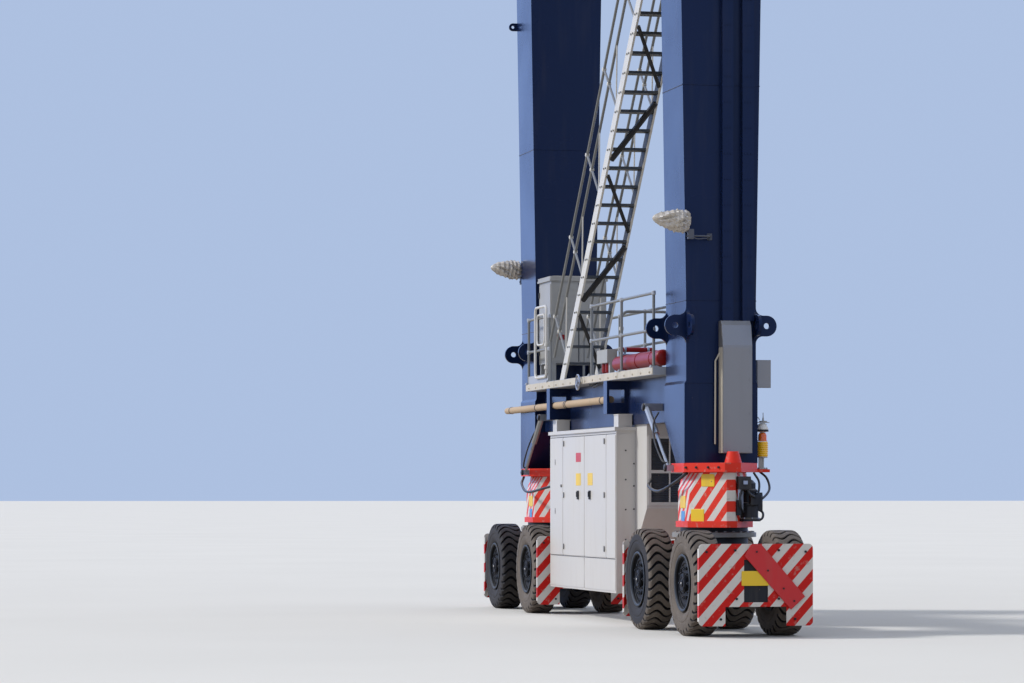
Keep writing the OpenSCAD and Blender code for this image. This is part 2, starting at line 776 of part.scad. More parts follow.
// Container spreader with its headblock and the four sheave boxes of the hoist.
module spreader() {
    end_y = spreader_l / 2;
    half_w = spreader_w / 2;
    color("gold") translate([trolley_x, 0, spreader_z]) union() {
        block([-330, -end_y + 300, 0], [330, end_y - 300, spreader_h]);
        for (x = [-600, 430]) block([x, -end_y + 150, 60], [x + 170, end_y - 150, 360]);
        block([-600, -500, 30], [600, 500, 380]);
        ends() {
            block([-half_w, -end_y, 20], [half_w, -end_y + 240, 380]);
            for (x = [-half_w, half_w - 170]) block([x, -end_y, -60], [x + 170, -end_y + 170, 20]);
            for (s = [-1, 1]) translate([s * (half_w - 85), -end_y + 85, -160])
                cylinder(h = 100, r1 = 28, r2 = 55, $fn = fine);
        }
        block([-headblock[0], -headblock[1], spreader_h],
            [headblock[0], headblock[1], spreader_h + headblock_h]);
        for (x = [-rope_x, rope_x], y = [-rope_y, rope_y])
            block([x - 50, y - 180, spreader_h + headblock_h],
                [x + 50, y + 180, spreader_h + headblock_h + sheave_h]);
    }
}

module hoist_ropes() {
    low = spreader_z + spreader_h + headblock_h + sheave_h;
    color("dimgray") translate([trolley_x, 0, 0])
        for (x = [-rope_x, rope_x], y = [-rope_y, rope_y], s = [-1, 1])
            translate([x, y + s * 110, low])
                cylinder(h = trolley_z - low, d = rope_d, $fn = fine);
}

// Bogie: a box beam with axle bores, and the slew ring with the bore for the turret's pin.
module bogie(corner) {
    end = bumper_reach - bumper_t;
    ring_top = turret_z - run_gap;
    color("dimgray") translate([corner[0], corner[1], 0]) difference() {
        union() {
            block([-bogie_w / 2, -end, bogie_bottom_z], [bogie_w / 2, end, bogie_top_z]);
            translate([0, 0, bogie_top_z])
                cylinder(h = ring_top - bogie_top_z, d = slew_ring_d, $fn = fine);
        }
        for (s = [-1, 1])
            translate([-bogie_w, s * axle_pitch / 2, axle_z]) rotate([0, 90, 0])
                cylinder(h = 2 * bogie_w, d = axle_d + 2 * run_gap, $fn = fine);
        translate([0, 0, turret_z - 250])
            cylinder(h = 300, d = slew_pin_d + 2 * run_gap, $fn = fine);
    }
}

module bumper_face() {
    half_w = bumper_w / 2;
    difference() {
        round_rectangle([-half_w, bumper_bottom_z], [half_w, bumper_top_z], bumper_round);
        translate([-notch_w / 2, 0]) square([notch_w, notch_top_z]);
        translate([-window_w / 2, bumper_window_z[0]])
            square([window_w, bumper_window_z[1] - bumper_window_z[0]]);
    }
}

// Bumper plates over both ends of a bogie, with their sides bent back.
module bumpers(corner) {
    color("crimson") translate([corner[0], corner[1], 0]) ends()
        translate([0, -bumper_reach, 0]) union() {
            plate_xz(bumper_t) bumper_face();
            for (x = [-bumper_w / 2, bumper_w / 2 - bumper_t])
                block([x, bumper_t / 2, bumper_bottom_z + bumper_round],
                    [x + bumper_t, bumper_t + bumper_return, bumper_top_z - bumper_round]);
        }
}

// Middle of an axle, where axle 1 is the outer one and axle 2 is nearer the crane's middle.
function axle_place(corner, axle) = [
    corner[0],
    corner[1] + sign(corner[1]) * (axle == 1 ? 1 : -1) * axle_pitch / 2,
    axle_z
];

module tyre() {
    r = tyre_d / 2;
    w = tyre_w / 2;
    seat = rim_d / 2;
    rotate_extrude($fn = tyre_sides) polygon([
        [seat, -w + 30], [seat + 60, -w + 5], [seat + 170, -w], [r - 60, -w + 12],
        [r - 15, -w + 30], [r, -w + 60], [r, w - 60], [r - 15, w - 30], [r - 60, w - 12],
        [seat + 170, w], [seat + 60, w - 5], [seat, w - 30]
    ]);
}

module tyres(corner, axle) {
    color("black") translate(axle_place(corner, axle)) rotate([0, 90, 0])
        for (s = [-1, 1]) translate([0, 0, s * tyre_pitch / 2]) tyre();
}

// Two rims with their discs and bosses on one axle.
module hubs(corner, axle) {
    seat = rim_d / 2 - run_gap;
    w = tyre_w / 2;
    color("dimgray") translate(axle_place(corner, axle)) rotate([0, 90, 0]) union() {
        cylinder(h = tyre_pitch + tyre_w - 100, d = axle_d, center = true, $fn = fine);
        for (s = [0, 1]) mirror([0, 0, s]) translate([0, 0, tyre_pitch / 2]) {
            rotate_extrude($fn = fine) polygon([
                [seat - 30, -w + 30], [seat, -w + 30], [seat, w - 30 + run_gap],
                [seat + 12, w - 24 + run_gap], [seat + 12, w - 12], [seat - 18, w - 12],
                [seat - 30, w - 30]
            ]);
            translate([0, 0, w - 90]) cylinder(h = 25, r = seat - 10, $fn = fine);
            translate([0, 0, w - 120]) cylinder(h = 100, r = 130, $fn = fine);
        }
    }
}

front_a_leg();
rear_a_leg();
front_b_leg();
rear_b_leg();
sill_beams();
turrets();
pin_lugs();
foot_struts();
cable_ducts();
duct_cover();
beacon_masts();
floodlights();
power_cabinets();
engine_housings();
platform_decks();
platform_rails();
outrigger_brackets();
sill_pole();
control_cabinet();
plug_box();
red_cylinder();
stair_flight();
stair_rails();
stair_landing();
caged_ladder();
main_girders();
girder_ties();
trolley_rails();
girder_walkways();
trolley_frame();
hoist_house();
operator_cab();
spreader();
hoist_ropes();
bogie(front_a);  // front_a_bogie
bogie(rear_a);  // rear_a_bogie
bogie(front_b);  // front_b_bogie
bogie(rear_b);  // rear_b_bogie
bumpers(front_a);  // front_a_bumpers
bumpers(rear_a);  // rear_a_bumpers
bumpers(front_b);  // front_b_bumpers
bumpers(rear_b);  // rear_b_bumpers
tyres(front_a, 1);  // front_a_tyres_1
tyres(front_a, 2);  // front_a_tyres_2
tyres(rear_a, 1);  // rear_a_tyres_1
tyres(rear_a, 2);  // rear_a_tyres_2
tyres(front_b, 1);  // front_b_tyres_1
tyres(front_b, 2);  // front_b_tyres_2
tyres(rear_b, 1);  // rear_b_tyres_1
tyres(rear_b, 2);  // rear_b_tyres_2
hubs(front_a, 1);  // front_a_hubs_1
hubs(front_a, 2);  // front_a_hubs_2
hubs(rear_a, 1);  // rear_a_hubs_1
hubs(rear_a, 2);  // rear_a_hubs_2
hubs(front_b, 1);  // front_b_hubs_1
hubs(front_b, 2);  // front_b_hubs_2
hubs(rear_b, 1);  // rear_b_hubs_1
hubs(rear_b, 2);  // rear_b_hubs_2
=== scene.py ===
import math

import bpy
import numpy as np
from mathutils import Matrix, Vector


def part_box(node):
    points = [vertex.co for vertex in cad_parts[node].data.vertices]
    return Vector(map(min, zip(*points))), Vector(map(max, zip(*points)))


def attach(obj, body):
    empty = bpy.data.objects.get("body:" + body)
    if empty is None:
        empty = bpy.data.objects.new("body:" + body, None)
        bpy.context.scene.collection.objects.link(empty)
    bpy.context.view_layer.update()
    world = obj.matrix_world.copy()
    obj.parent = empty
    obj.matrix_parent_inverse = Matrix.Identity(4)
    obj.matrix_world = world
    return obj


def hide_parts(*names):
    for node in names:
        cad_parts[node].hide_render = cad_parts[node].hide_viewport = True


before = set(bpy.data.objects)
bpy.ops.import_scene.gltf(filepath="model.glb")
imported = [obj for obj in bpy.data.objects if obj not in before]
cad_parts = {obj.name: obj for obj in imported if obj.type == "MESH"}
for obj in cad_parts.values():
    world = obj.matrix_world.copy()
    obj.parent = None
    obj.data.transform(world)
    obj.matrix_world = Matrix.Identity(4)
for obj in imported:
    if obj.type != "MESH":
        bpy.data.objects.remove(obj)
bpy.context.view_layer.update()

# The view. The crane is seen from the ground, far off, along the length of
# its side frame A, so the camera is level and its picture is shifted up.
camera = bpy.data.objects.new("camera", bpy.data.cameras.new("camera"))
bpy.context.collection.objects.link(camera)
camera.location = (-24.385, -48.1, 1.8)
camera.rotation_euler = (math.radians(90), 0, math.radians(-12.777))
camera.data.lens = 119.53
camera.data.shift_y = 0.1519
camera.data.clip_end = 2500
bpy.context.scene.camera = camera


# The yard floor. A plain slab with a faint cloud in its grey, which takes the
# crane's shadow. It looks pale, and lights the crane only as asphalt would.
def material_start(name):
    """A new material: its node tree, its surface shader and its Object coordinates."""
    material = bpy.data.materials.new(name)
    material.use_nodes = True
    tree = material.node_tree
    shader = tree.nodes["Principled BSDF"]
    place = tree.nodes.new("ShaderNodeTexCoord").outputs["Object"]
    return material, tree, shader, place


def cloud(tree, place, size, detail=4.0, stretch=(1, 1, 1), seed=0.0):
    """Noise from 0 to 1 whose lumps are about `size` metres across, drawn out by `stretch`."""
    turn = tree.nodes.new("ShaderNodeMapping")
    turn.inputs["Scale"].default_value = [1 / (size * s) for s in stretch]
    turn.inputs["Location"].default_value = (seed, seed * 0.7, seed * 0.3)
    noise = tree.nodes.new("ShaderNodeTexNoise")
    noise.inputs["Scale"].default_value = 1.0
    noise.inputs["Detail"].default_value = detail
    tree.links.new(place, turn.inputs["Vector"])
    tree.links.new(turn.outputs[0], noise.inputs["Vector"])
    return noise.outputs["Fac"]


def between(tree, value, low, high, top=1.0, bottom=0.0):
    """A straight ramp: `bottom` where the value is at `low`, `top` where it is at `high`, and held
    flat outside the two."""
    ramp = tree.nodes.new("ShaderNodeMapRange")
    ramp.inputs["From Min"].default_value = low
    ramp.inputs["From Max"].default_value = high
    ramp.inputs["To Min"].default_value = bottom
    ramp.inputs["To Max"].default_value = top
    tree.links.new(value, ramp.inputs["Value"])
    return ramp.outputs["Result"]


def blended(tree, share, one, two):
    """One colour over another by a share. A colour is three plain numbers or a node's output."""
    mix = tree.nodes.new("ShaderNodeMix")
    mix.data_type = "RGBA"
    tree.links.new(share, mix.inputs["Factor"])
    for socket, colour in ((mix.inputs[6], one), (mix.inputs[7], two)):
        if isinstance(colour, tuple):
            socket.default_value = (*colour, 1.0)
        else:
            tree.links.new(colour, socket)
    return mix.outputs[2]


floor_paint, tree, shader, place = material_start("pale_floor")
ray = tree.nodes.new("ShaderNodeLightPath")
pale = blended(tree, cloud(tree, place, 6.0), (0.66, 0.65, 0.63), (0.73, 0.72, 0.7))
asphalt_light = (0.5, 0.47, 0.44)
tree.links.new(blended(tree, ray.outputs["Is Camera Ray"], asphalt_light, pale),
               shader.inputs["Base Color"])
shader.inputs["Roughness"].default_value = 0.9
shader.inputs["Specular IOR Level"].default_value = 0.1
FAR = 1500
floor_mesh = bpy.data.meshes.new("floor")
floor_mesh.from_pydata([(-FAR, -FAR, 0), (FAR, -FAR, 0), (FAR, FAR, 0), (-FAR, FAR, 0)], [],
                       [(0, 1, 2, 3)])
floor_mesh.materials.append(floor_paint)
floor = bpy.data.objects.new("floor", floor_mesh)
bpy.context.collection.objects.link(floor)

# The light. A wide soft lamp stands high on the left, past the frame's outer
# face, and the sky lights the rest. The camera sees the sky as pale blue, and
# polished paint mirrors it as a deeper blue.
SKY_FILL = (0.6, 0.63, 0.68)
SKY_MIRRORED = (0.6, 0.9, 1.7)
SKY_SEEN = (0.42, 0.53, 0.75)
lamp = bpy.data.objects.new("lamp", bpy.data.lights.new("lamp", "SUN"))
lamp.data.energy = 2.5
lamp.data.color = (1.0, 0.97, 0.92)
lamp.data.angle = math.radians(9)
lamp.rotation_euler = (math.radians(-14), math.radians(-52), 0)
bpy.context.collection.objects.link(lamp)
sky = bpy.data.worlds.new("sky")
sky.use_nodes = True
bpy.context.scene.world = sky
air = sky.node_tree
ray = air.nodes.new("ShaderNodeLightPath")
unseen = blended(air, ray.outputs["Is Glossy Ray"], SKY_FILL, SKY_MIRRORED)
backdrop = blended(air, ray.outputs["Is Camera Ray"], unseen, SKY_SEEN)
air.links.new(backdrop, air.nodes["Background"].inputs["Color"])
bpy.context.scene.view_settings.view_transform = "Standard"


# The legs. Four welded box columns of painted plate. Each stands with a
# tapered foot on its turret, is seamed round at the foot and widens upwards.
YARD_DUST = (0.47, 0.42, 0.35)


def weathered(name, colour, shade, rough=0.4, grime=(0.2, 0.17, 0.13), dirt=0.35,
              worn=(0.23, 0.13, 0.08), chips=0.72, metallic=0.0, grain=0.05, dust=0.25, facing=1.0):
    """Painted plate. The colour drifts to its shade in metre-wide clouds, dirt runs down in
    narrow drawn-out streaks, dust lies on what faces up, and the paint is chipped to `worn`
    where a fine noise is above `chips`. Roughness follows the clouds, and `grain` is the
    strength of a fine bump. `facing` below 1 dims what the paint mirrors when it is seen square
    on, and leaves what it mirrors at a grazing angle."""
    material, tree, shader, place = material_start(name)
    drift = cloud(tree, place, 1.4, 5.0)
    run = between(tree, cloud(tree, place, 0.16, 5.0, (1, 1, 9), 3.1), 0.5, 0.78, dirt)
    chip = between(tree, cloud(tree, place, 0.05, 8.0, seed=7.7), chips, chips + 0.015)
    face = tree.nodes.new("ShaderNodeNewGeometry")
    parts = tree.nodes.new("ShaderNodeSeparateXYZ")
    tree.links.new(face.outputs["Normal"], parts.inputs[0])
    lying = between(tree, parts.outputs["Z"], 0.5, 0.95, dust)
    paint = blended(tree, drift, colour, shade)
    paint = blended(tree, run, paint, grime)
    paint = blended(tree, lying, paint, YARD_DUST)
    paint = blended(tree, chip, paint, worn)
    tree.links.new(paint, shader.inputs["Base Color"])
    tree.links.new(between(tree, drift, 0.25, 0.75, rough + 0.1, rough - 0.08),
                   shader.inputs["Roughness"])
    shader.inputs["Metallic"].default_value = metallic
    shader.inputs["Specular Tint"].default_value = (facing, facing, facing, 1)
    skin = cloud(tree, place, 0.012, 3.0, seed=1.3)
    bump = tree.nodes.new("ShaderNodeBump")
    bump.inputs["Strength"].default_value = grain
    bump.inputs["Distance"].default_value = 0.004
    tree.links.new(skin, bump.inputs["Height"])
    tree.links.new(bump.outputs[0], shader.inputs["Normal"])
    return material


def finish_nodes(material, *names):
    """Gives the named solids this finish in all their material places."""
    for name in names:
        for place_in_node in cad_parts[name].material_slots:
            place_in_node.material = material


CORNERS = ("front_a", "rear_a", "front_b", "rear_b")
navy = weathered("navy_gloss", (0.004, 0.011, 0.045), (0.006, 0.015, 0.057), rough=0.24,
                 dirt=0.05, dust=0.1, chips=0.78, facing=0.3)
finish_nodes(navy, *[f"{corner}_leg" for corner in CORNERS], "sill_beams", "main_girders",
             "girder_ties", "pin_lugs", "outrigger_brackets", "cable_ducts")

# The turrets. Each corner turns its bogie under a boat-shaped casing, striped
# red and white, between a red tray and a red top plate, with bare signs on it.
def reckoned(tree, operation, one, two=0.0):
    """One sum in the node tree: the operation on a value with a plain number or another value."""
    node = tree.nodes.new("ShaderNodeMath")
    node.operation = operation
    tree.links.new(one, node.inputs[0])
    if isinstance(two, float):
        node.inputs[1].default_value = two
    else:
        tree.links.new(two, node.inputs[1])
    return node.outputs[0]


def striped(name, across, rise, pitch, first, second, bands=(), shift=0.0):
    """Two colours in slanting bands. A band follows `across` times the sideways coordinate less
    `rise` times the height; the fraction of that over the pitch, less `shift`, above or below a
    half, picks the colour. Between the heights of a pair in `bands` all is the first colour."""
    material, tree, shader, place = material_start(name)
    parts = tree.nodes.new("ShaderNodeSeparateXYZ")
    tree.links.new(place, parts.inputs[0])
    dot = tree.nodes.new("ShaderNodeVectorMath")
    dot.operation = "DOT_PRODUCT"
    dot.inputs[1].default_value = (across[0] / pitch, across[1] / pitch, -rise / pitch)
    tree.links.new(place, dot.inputs[0])
    part = reckoned(tree, "FRACT", reckoned(tree, "SUBTRACT", dot.outputs["Value"], shift))
    band = between(tree, part, 0.495, 0.505)
    drift = cloud(tree, place, 0.5, 5.0)
    red = blended(tree, drift, first, tuple(0.8 * c for c in first))
    white = blended(tree, drift, second, tuple(0.86 * c for c in second))
    paint = blended(tree, band, red, white)
    for low, high in bands:
        above = between(tree, parts.outputs["Z"], low - 0.001, low)
        below = between(tree, parts.outputs["Z"], high + 0.001, high)
        paint = blended(tree, reckoned(tree, "MULTIPLY", above, below), paint, red)
    scuff = between(tree, cloud(tree, place, 0.07, 8.0, seed=4.4), 0.6, 0.7, 0.4)
    paint = blended(tree, scuff, paint, (0.4, 0.35, 0.3))
    tree.links.new(paint, shader.inputs["Base Color"])
    tree.links.new(between(tree, drift, 0.2, 0.8, 0.5, 0.4), shader.inputs["Roughness"])
    shader.inputs["Specular Tint"].default_value = (0.35, 0.35, 0.35, 1)
    return material


# The turrets' red is lighter and more orange than the bumpers' red: the same paint with painted
# sunlight on it.
TURRET_RED_SUNLIT = (0.78, 0.04, 0.02)
SHEET_WHITE = (0.68, 0.66, 0.64)
TRAY_HEIGHTS = (1.38, 1.485)
TOP_PLATE_HEIGHTS = (2.12, 2.5)
turret_stripes = striped("turret_stripes", (0, -1), 0.69, 0.195, TURRET_RED_SUNLIT, SHEET_WHITE,
                         (TRAY_HEIGHTS, TOP_PLATE_HEIGHTS))
finish_nodes(turret_stripes, "turrets")


def put_mesh(name, points, faces, material, body, slot, smooth=False):
    """One piece from points and faces, in its finish, riding on its body."""
    mesh = bpy.data.meshes.new(name)
    mesh.from_pydata(np.asarray(points, float).reshape(-1, 3).tolist(), [], faces)
    mesh.materials.append(material)
    mesh.polygons.foreach_set("use_smooth", np.full(len(mesh.polygons), smooth))
    mesh.update()
    piece = bpy.data.objects.new(name, mesh)
    bpy.context.collection.objects.link(piece)
    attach(piece, body)
    return piece


def grid_faces(sheets, rows, columns, wrap_rows=False, wrap_columns=False):
    """Four-sided faces of some grids of points laid one after another, each rows by columns.
    A face joins a point, its right neighbour, the one above that and the one above itself."""
    down = np.arange(rows if wrap_rows else rows - 1)
    along = np.arange(columns if wrap_columns else columns - 1)
    d, a = np.meshgrid(down, along, indexing="ij")
    d2, a2 = (d + 1) % rows, (a + 1) % columns
    quads = np.stack([d * columns + a, d * columns + a2, d2 * columns + a2, d2 * columns + a], -1)
    starts = np.arange(sheets)[:, None, None] * rows * columns
    return (quads.reshape(1, -1, 4) + starts).reshape(-1, 4)


def closed_faces(shapes, levels, sides):
    """Faces of some closed shapes, each a stack of rings with a flat end on its first and last."""
    sheets = grid_faces(shapes, levels, sides, wrap_columns=True).tolist()
    ends = np.arange(shapes)[:, None] * levels * sides + np.arange(sides)[None]
    return sheets + ends[:, ::-1].tolist() + (ends + (levels - 1) * sides).tolist()


def raised(rows, square=0.12, sides=16, top=0.96):
    """Plates, boards, buttons and bolt heads that stand on a face. A row gives the middle, the way
    out, then the width, height and thickness, and a turn in the face. The outline is a
    superellipse: the cosine and sine of an angle, each raised to the power `square`. It rises
    straight to eight tenths of the thickness and is drawn in to `top` at the outer face."""
    rows = np.atleast_2d(np.asarray(rows, float))
    if rows.shape[1] == 9:
        rows = np.hstack([rows, np.zeros((len(rows), 1))])
    middle, out, (w, h, t, turn) = rows[:, :3], rows[:, 3:6], rows[:, 6:].T
    out = out / np.linalg.norm(out, axis=1)[:, None]
    across = np.cross((0.0, 0.0, 1.0), out)
    across[np.abs(out[:, 2]) > 0.999] = (1.0, 0.0, 0.0)
    across = across / np.linalg.norm(across, axis=1)[:, None]
    up = np.cross(out, across)
    c, s = np.cos(turn)[:, None], np.sin(turn)[:, None]
    across, up = across * c + up * s, up * c - across * s
    angle = np.arange(sides) * 2 * np.pi / sides
    ring = [np.sign(f) * np.abs(f) ** square / 2 for f in (np.cos(angle), np.sin(angle))]
    flat = (ring[0][None, :, None] * (across * w[:, None])[:, None]
            + ring[1][None, :, None] * (up * h[:, None])[:, None])
    level = np.array([(1.0, 0.0), (1.0, 0.8), (top, 1.0)])
    points = (middle[:, None, None] + level[None, :, None, :1] * flat[:, None]
              + level[None, :, None, 1:] * (out * t[:, None])[:, None, None])
    return points, closed_faces(len(rows), 3, sides)


def turned(places, way, profile, sides=20):
    """Lathe shapes. The profile's radius is carried round the axis `way` through each place, and
    its height is measured along it. The two ends are flat."""
    places, way = np.atleast_2d(np.asarray(places, float)), np.asarray(way, float)
    across = np.cross((0.0, 0.0, 1.0), way) if abs(way[2]) < 0.99 else np.array((1.0, 0.0, 0.0))
    across = across / np.linalg.norm(across)
    up = np.cross(way, across)
    angle = np.arange(sides) * 2 * np.pi / sides
    ring = np.cos(angle)[:, None] * across + np.sin(angle)[:, None] * up
    radius, height = np.asarray(profile, float).T
    one = radius[:, None, None] * ring[None] + height[:, None, None] * way
    return places[:, None, None] + one[None], closed_faces(len(places), len(radius), sides)


def smooth_path(points, steps=8):
    """A path through the points by the Catmull-Rom cubic: between two points it leaves along the
    line from the one before to the one after."""
    p = np.asarray(points, float)
    p = np.vstack([2 * p[0] - p[1], p, 2 * p[-1] - p[-2]])
    t = np.linspace(0, 1, steps, endpoint=False)[None, :, None]
    a, b, c, d = (p[i:len(p) - 3 + i, None] for i in range(4))
    path = 0.5 * (2 * b + (c - a) * t + (2 * a - 5 * b + 4 * c - d) * t ** 2
                  + (3 * b - a - 3 * c + d) * t ** 3)
    return np.vstack([path.reshape(-1, 3), p[-2]])


def pipe(path, radius, sides=8):
    """A round tube: a circle carried square along a path."""
    path = np.asarray(path, float)
    along = np.gradient(path, axis=0)
    along = along / np.linalg.norm(along, axis=1)[:, None]
    least = np.eye(3)[np.argmin(np.abs(along).max(axis=0))]
    across = np.cross(along, least)
    across = across / np.linalg.norm(across, axis=1)[:, None]
    up = np.cross(along, across)
    angle = np.arange(sides) * -2 * np.pi / sides
    ring = np.cos(angle)[:, None, None] * across + np.sin(angle)[:, None, None] * up
    return (path[None] + radius * ring).swapaxes(0, 1)[None], closed_faces(1, len(path), sides)


def joined(*shapes):
    """Several shapes' points and faces as one."""
    points, faces, count = [], [], 0
    for p, f in shapes:
        p = np.asarray(p, float).reshape(-1, 3)
        points.append(p)
        faces += [[i + count for i in face] for face in f]
        count += len(p)
    return np.vstack(points), faces


def mirrored(shape, sign_x=1, sign_y=1):
    """A shape about the crane's middle planes. Where it is turned inside out, its faces are
    listed the other way round."""
    points, faces = shape
    points = np.asarray(points, float).reshape(-1, 3) * (sign_x, sign_y, 1)
    return points, faces if sign_x * sign_y > 0 else [face[::-1] for face in faces]


def on_corners(shape):
    """A shape drawn at the front corner of side A, on all four corners."""
    return joined(*[mirrored(shape, x, y) for x in (1, -1) for y in (1, -1)])


def on_sides(shape):
    """A shape drawn on side A, on both sides."""
    return joined(shape, mirrored(shape, -1))


SIDE_A = -11.735
SLEW_Y = -4.5
NOSE_WAY = np.array((0.36, -0.52)) / 0.6325
NOSE_OUT = (-0.8222, -0.5692, 0)


def on_nose(share, z):
    """A point on the turret's left slanting face: from the side's corner to the nose by a share."""
    x, y = np.array((-0.42, -0.28)) + share * 0.6325 * NOSE_WAY
    return (SIDE_A + x, SLEW_Y + y, z)


sign_yellow = weathered("sign_yellow", (0.76, 0.5, 0.012), (0.82, 0.55, 0.015), rough=0.35,
                        dirt=0.2)
sign_blue = weathered("sign_blue", (0.05, 0.25, 0.6), (0.06, 0.3, 0.68), rough=0.35, dirt=0.2)
plates = raised([(*on_nose(0.5, 2.02), *NOSE_OUT, 0.22, 0.165, 0.006),
                 (*on_nose(0.22, 1.56), *NOSE_OUT, 0.22, 0.165, 0.006),
                 (SIDE_A - 0.42, SLEW_Y + 0.03, 1.735, -1, 0, 0, 0.26, 0.165, 0.006)])
put_mesh("turret_yellow_signs", *on_corners(plates), sign_yellow, "crane", "yellow_paint")
plate = raised([(SIDE_A - 0.42, SLEW_Y + 0.03, 1.545, -1, 0, 0, 0.16, 0.14, 0.006)])
put_mesh("turret_blue_signs", *on_corners(plate), sign_blue, "crane", "navy_paint")

# The slewing gear. A black hydraulic motor on a gearbox stands on the tray
# beside the right of the nose, with a valve block and rubber hoses.
gear_black = weathered("gear_black", (0.012, 0.012, 0.013), (0.022, 0.022, 0.024), rough=0.42,
                       dirt=0.25, dust=0.3, facing=0.4)
chassis_black = weathered("chassis_black", (0.014, 0.014, 0.016), (0.024, 0.023, 0.022), rough=0.5,
                          dirt=0.3, grime=(0.12, 0.1, 0.08), dust=0.3, facing=0.4)
steel_bright = weathered("steel_bright", (0.3, 0.3, 0.31), (0.4, 0.4, 0.41), metallic=0.8)


def bolted(rows):
    """Six-sided bolt heads, one for each row of `raised`."""
    return raised(rows, 1.0, 6)


GEAR_X, GEAR_Y = SIDE_A + 0.3, SLEW_Y - 0.62
GEARBOX_AND_MOTOR = (
    (0.15, 0), (0.15, 0.03), (0.12, 0.05), (0.12, 0.2), (0.135, 0.21), (0.135, 0.24),
    (0.1, 0.25), (0.095, 0.38), (0.11, 0.39), (0.11, 0.41), (0.085, 0.43), (0.085, 0.5),
    (0.05, 0.54), (0.03, 0.55))
motor = turned([(GEAR_X, GEAR_Y, 1.48)], (0, 0, 1), GEARBOX_AND_MOTOR, 24)
blocks = raised([(GEAR_X - 0.13, GEAR_Y - 0.19, 1.9, 0, 0, 1, 0.17, 0.12, 0.17),
                 (GEAR_X + 0.04, GEAR_Y - 0.12, 1.7, 0, 0, 1, 0.15, 0.14, 0.13),
                 (GEAR_X + 0.12, GEAR_Y + 0.02, 1.62, 0, 0, 1, 0.1, 0.16, 0.24),
                 (GEAR_X - 0.2, GEAR_Y - 0.16, 1.56, 0, 0, 1, 0.06, 0.1, 0.2)])
hoses = [[(0.6, -0.1, 2.14), (0.67, -0.2, 2.05), (0.66, -0.35, 1.9), (0.5, -0.55, 1.78),
          (0.36, -0.62, 1.74)],
         [(0.4, -0.5, 2.12), (0.44, -0.6, 2.0), (0.4, -0.7, 1.85), (0.33, -0.72, 1.76)],
         [(0.2, -0.82, 1.94), (0.24, -0.86, 1.84), (0.31, -0.82, 1.8), (0.33, -0.76, 1.78)],
         [(0.38, -0.6, 1.66), (0.47, -0.66, 1.6), (0.46, -0.68, 1.52), (0.38, -0.7, 1.5),
          (0.34, -0.66, 1.56)],
         [(0.16, -0.8, 1.92), (0.1, -0.86, 1.8), (0.12, -0.84, 1.66), (0.18, -0.76, 1.6)]]
at_gear = np.array((SIDE_A, SLEW_Y, 0))
gear = joined(motor, blocks, *[pipe(smooth_path(h) + at_gear, 0.016) for h in hoses],
              pipe(smooth_path([(-0.46, -0.3, 2.12), (-0.55, -0.05, 2.0), (-0.6, 0.6, 1.88),
                                (-0.5, 1.5, 1.95), (-0.25, 2.29, 2.05)]) + at_gear, 0.02))
put_mesh("slewing_gear", *on_corners(gear), gear_black, "crane", "grey_paint")
BOLT_CIRCLE = 0.135
bolts = bolted([(GEAR_X + BOLT_CIRCLE * np.cos(a), GEAR_Y + BOLT_CIRCLE * np.sin(a), 1.51,
                 0, 0, 1, 0.02, 0.02, 0.02) for a in np.linspace(0, 2 * np.pi, 8, endpoint=False)])
bracket = raised([(SIDE_A + 0.13, SLEW_Y - 0.8, 1.85, -0.6, -1, 0, 0.07, 0.45, 0.012),
                  (GEAR_X - 0.13, GEAR_Y - 0.255, 1.99, 0, -1, 0, 0.06, 0.05, 0.02)])
fittings = turned([at_gear + (0.36, -0.62, 1.73), at_gear + (0.33, -0.74, 1.75)], (0, 0, 1),
                  [(0.024, 0), (0.024, 0.04), (0.018, 0.05)], 8)
put_mesh("slewing_gear_fittings", *on_corners(joined(bolts, bracket, fittings)), steel_bright,
         "crane", "rail_steel")
plate_bolts = bolted([(*(on_nose(f, 2.19) + 0.085 * np.array(NOSE_OUT)), *NOSE_OUT,
                       0.034, 0.034, 0.02) for f in (0.02, 0.3, 0.62, 0.9)])
put_mesh("top_plate_bolts", *on_corners(plate_bolts), chassis_black, "crane", "striped_red")

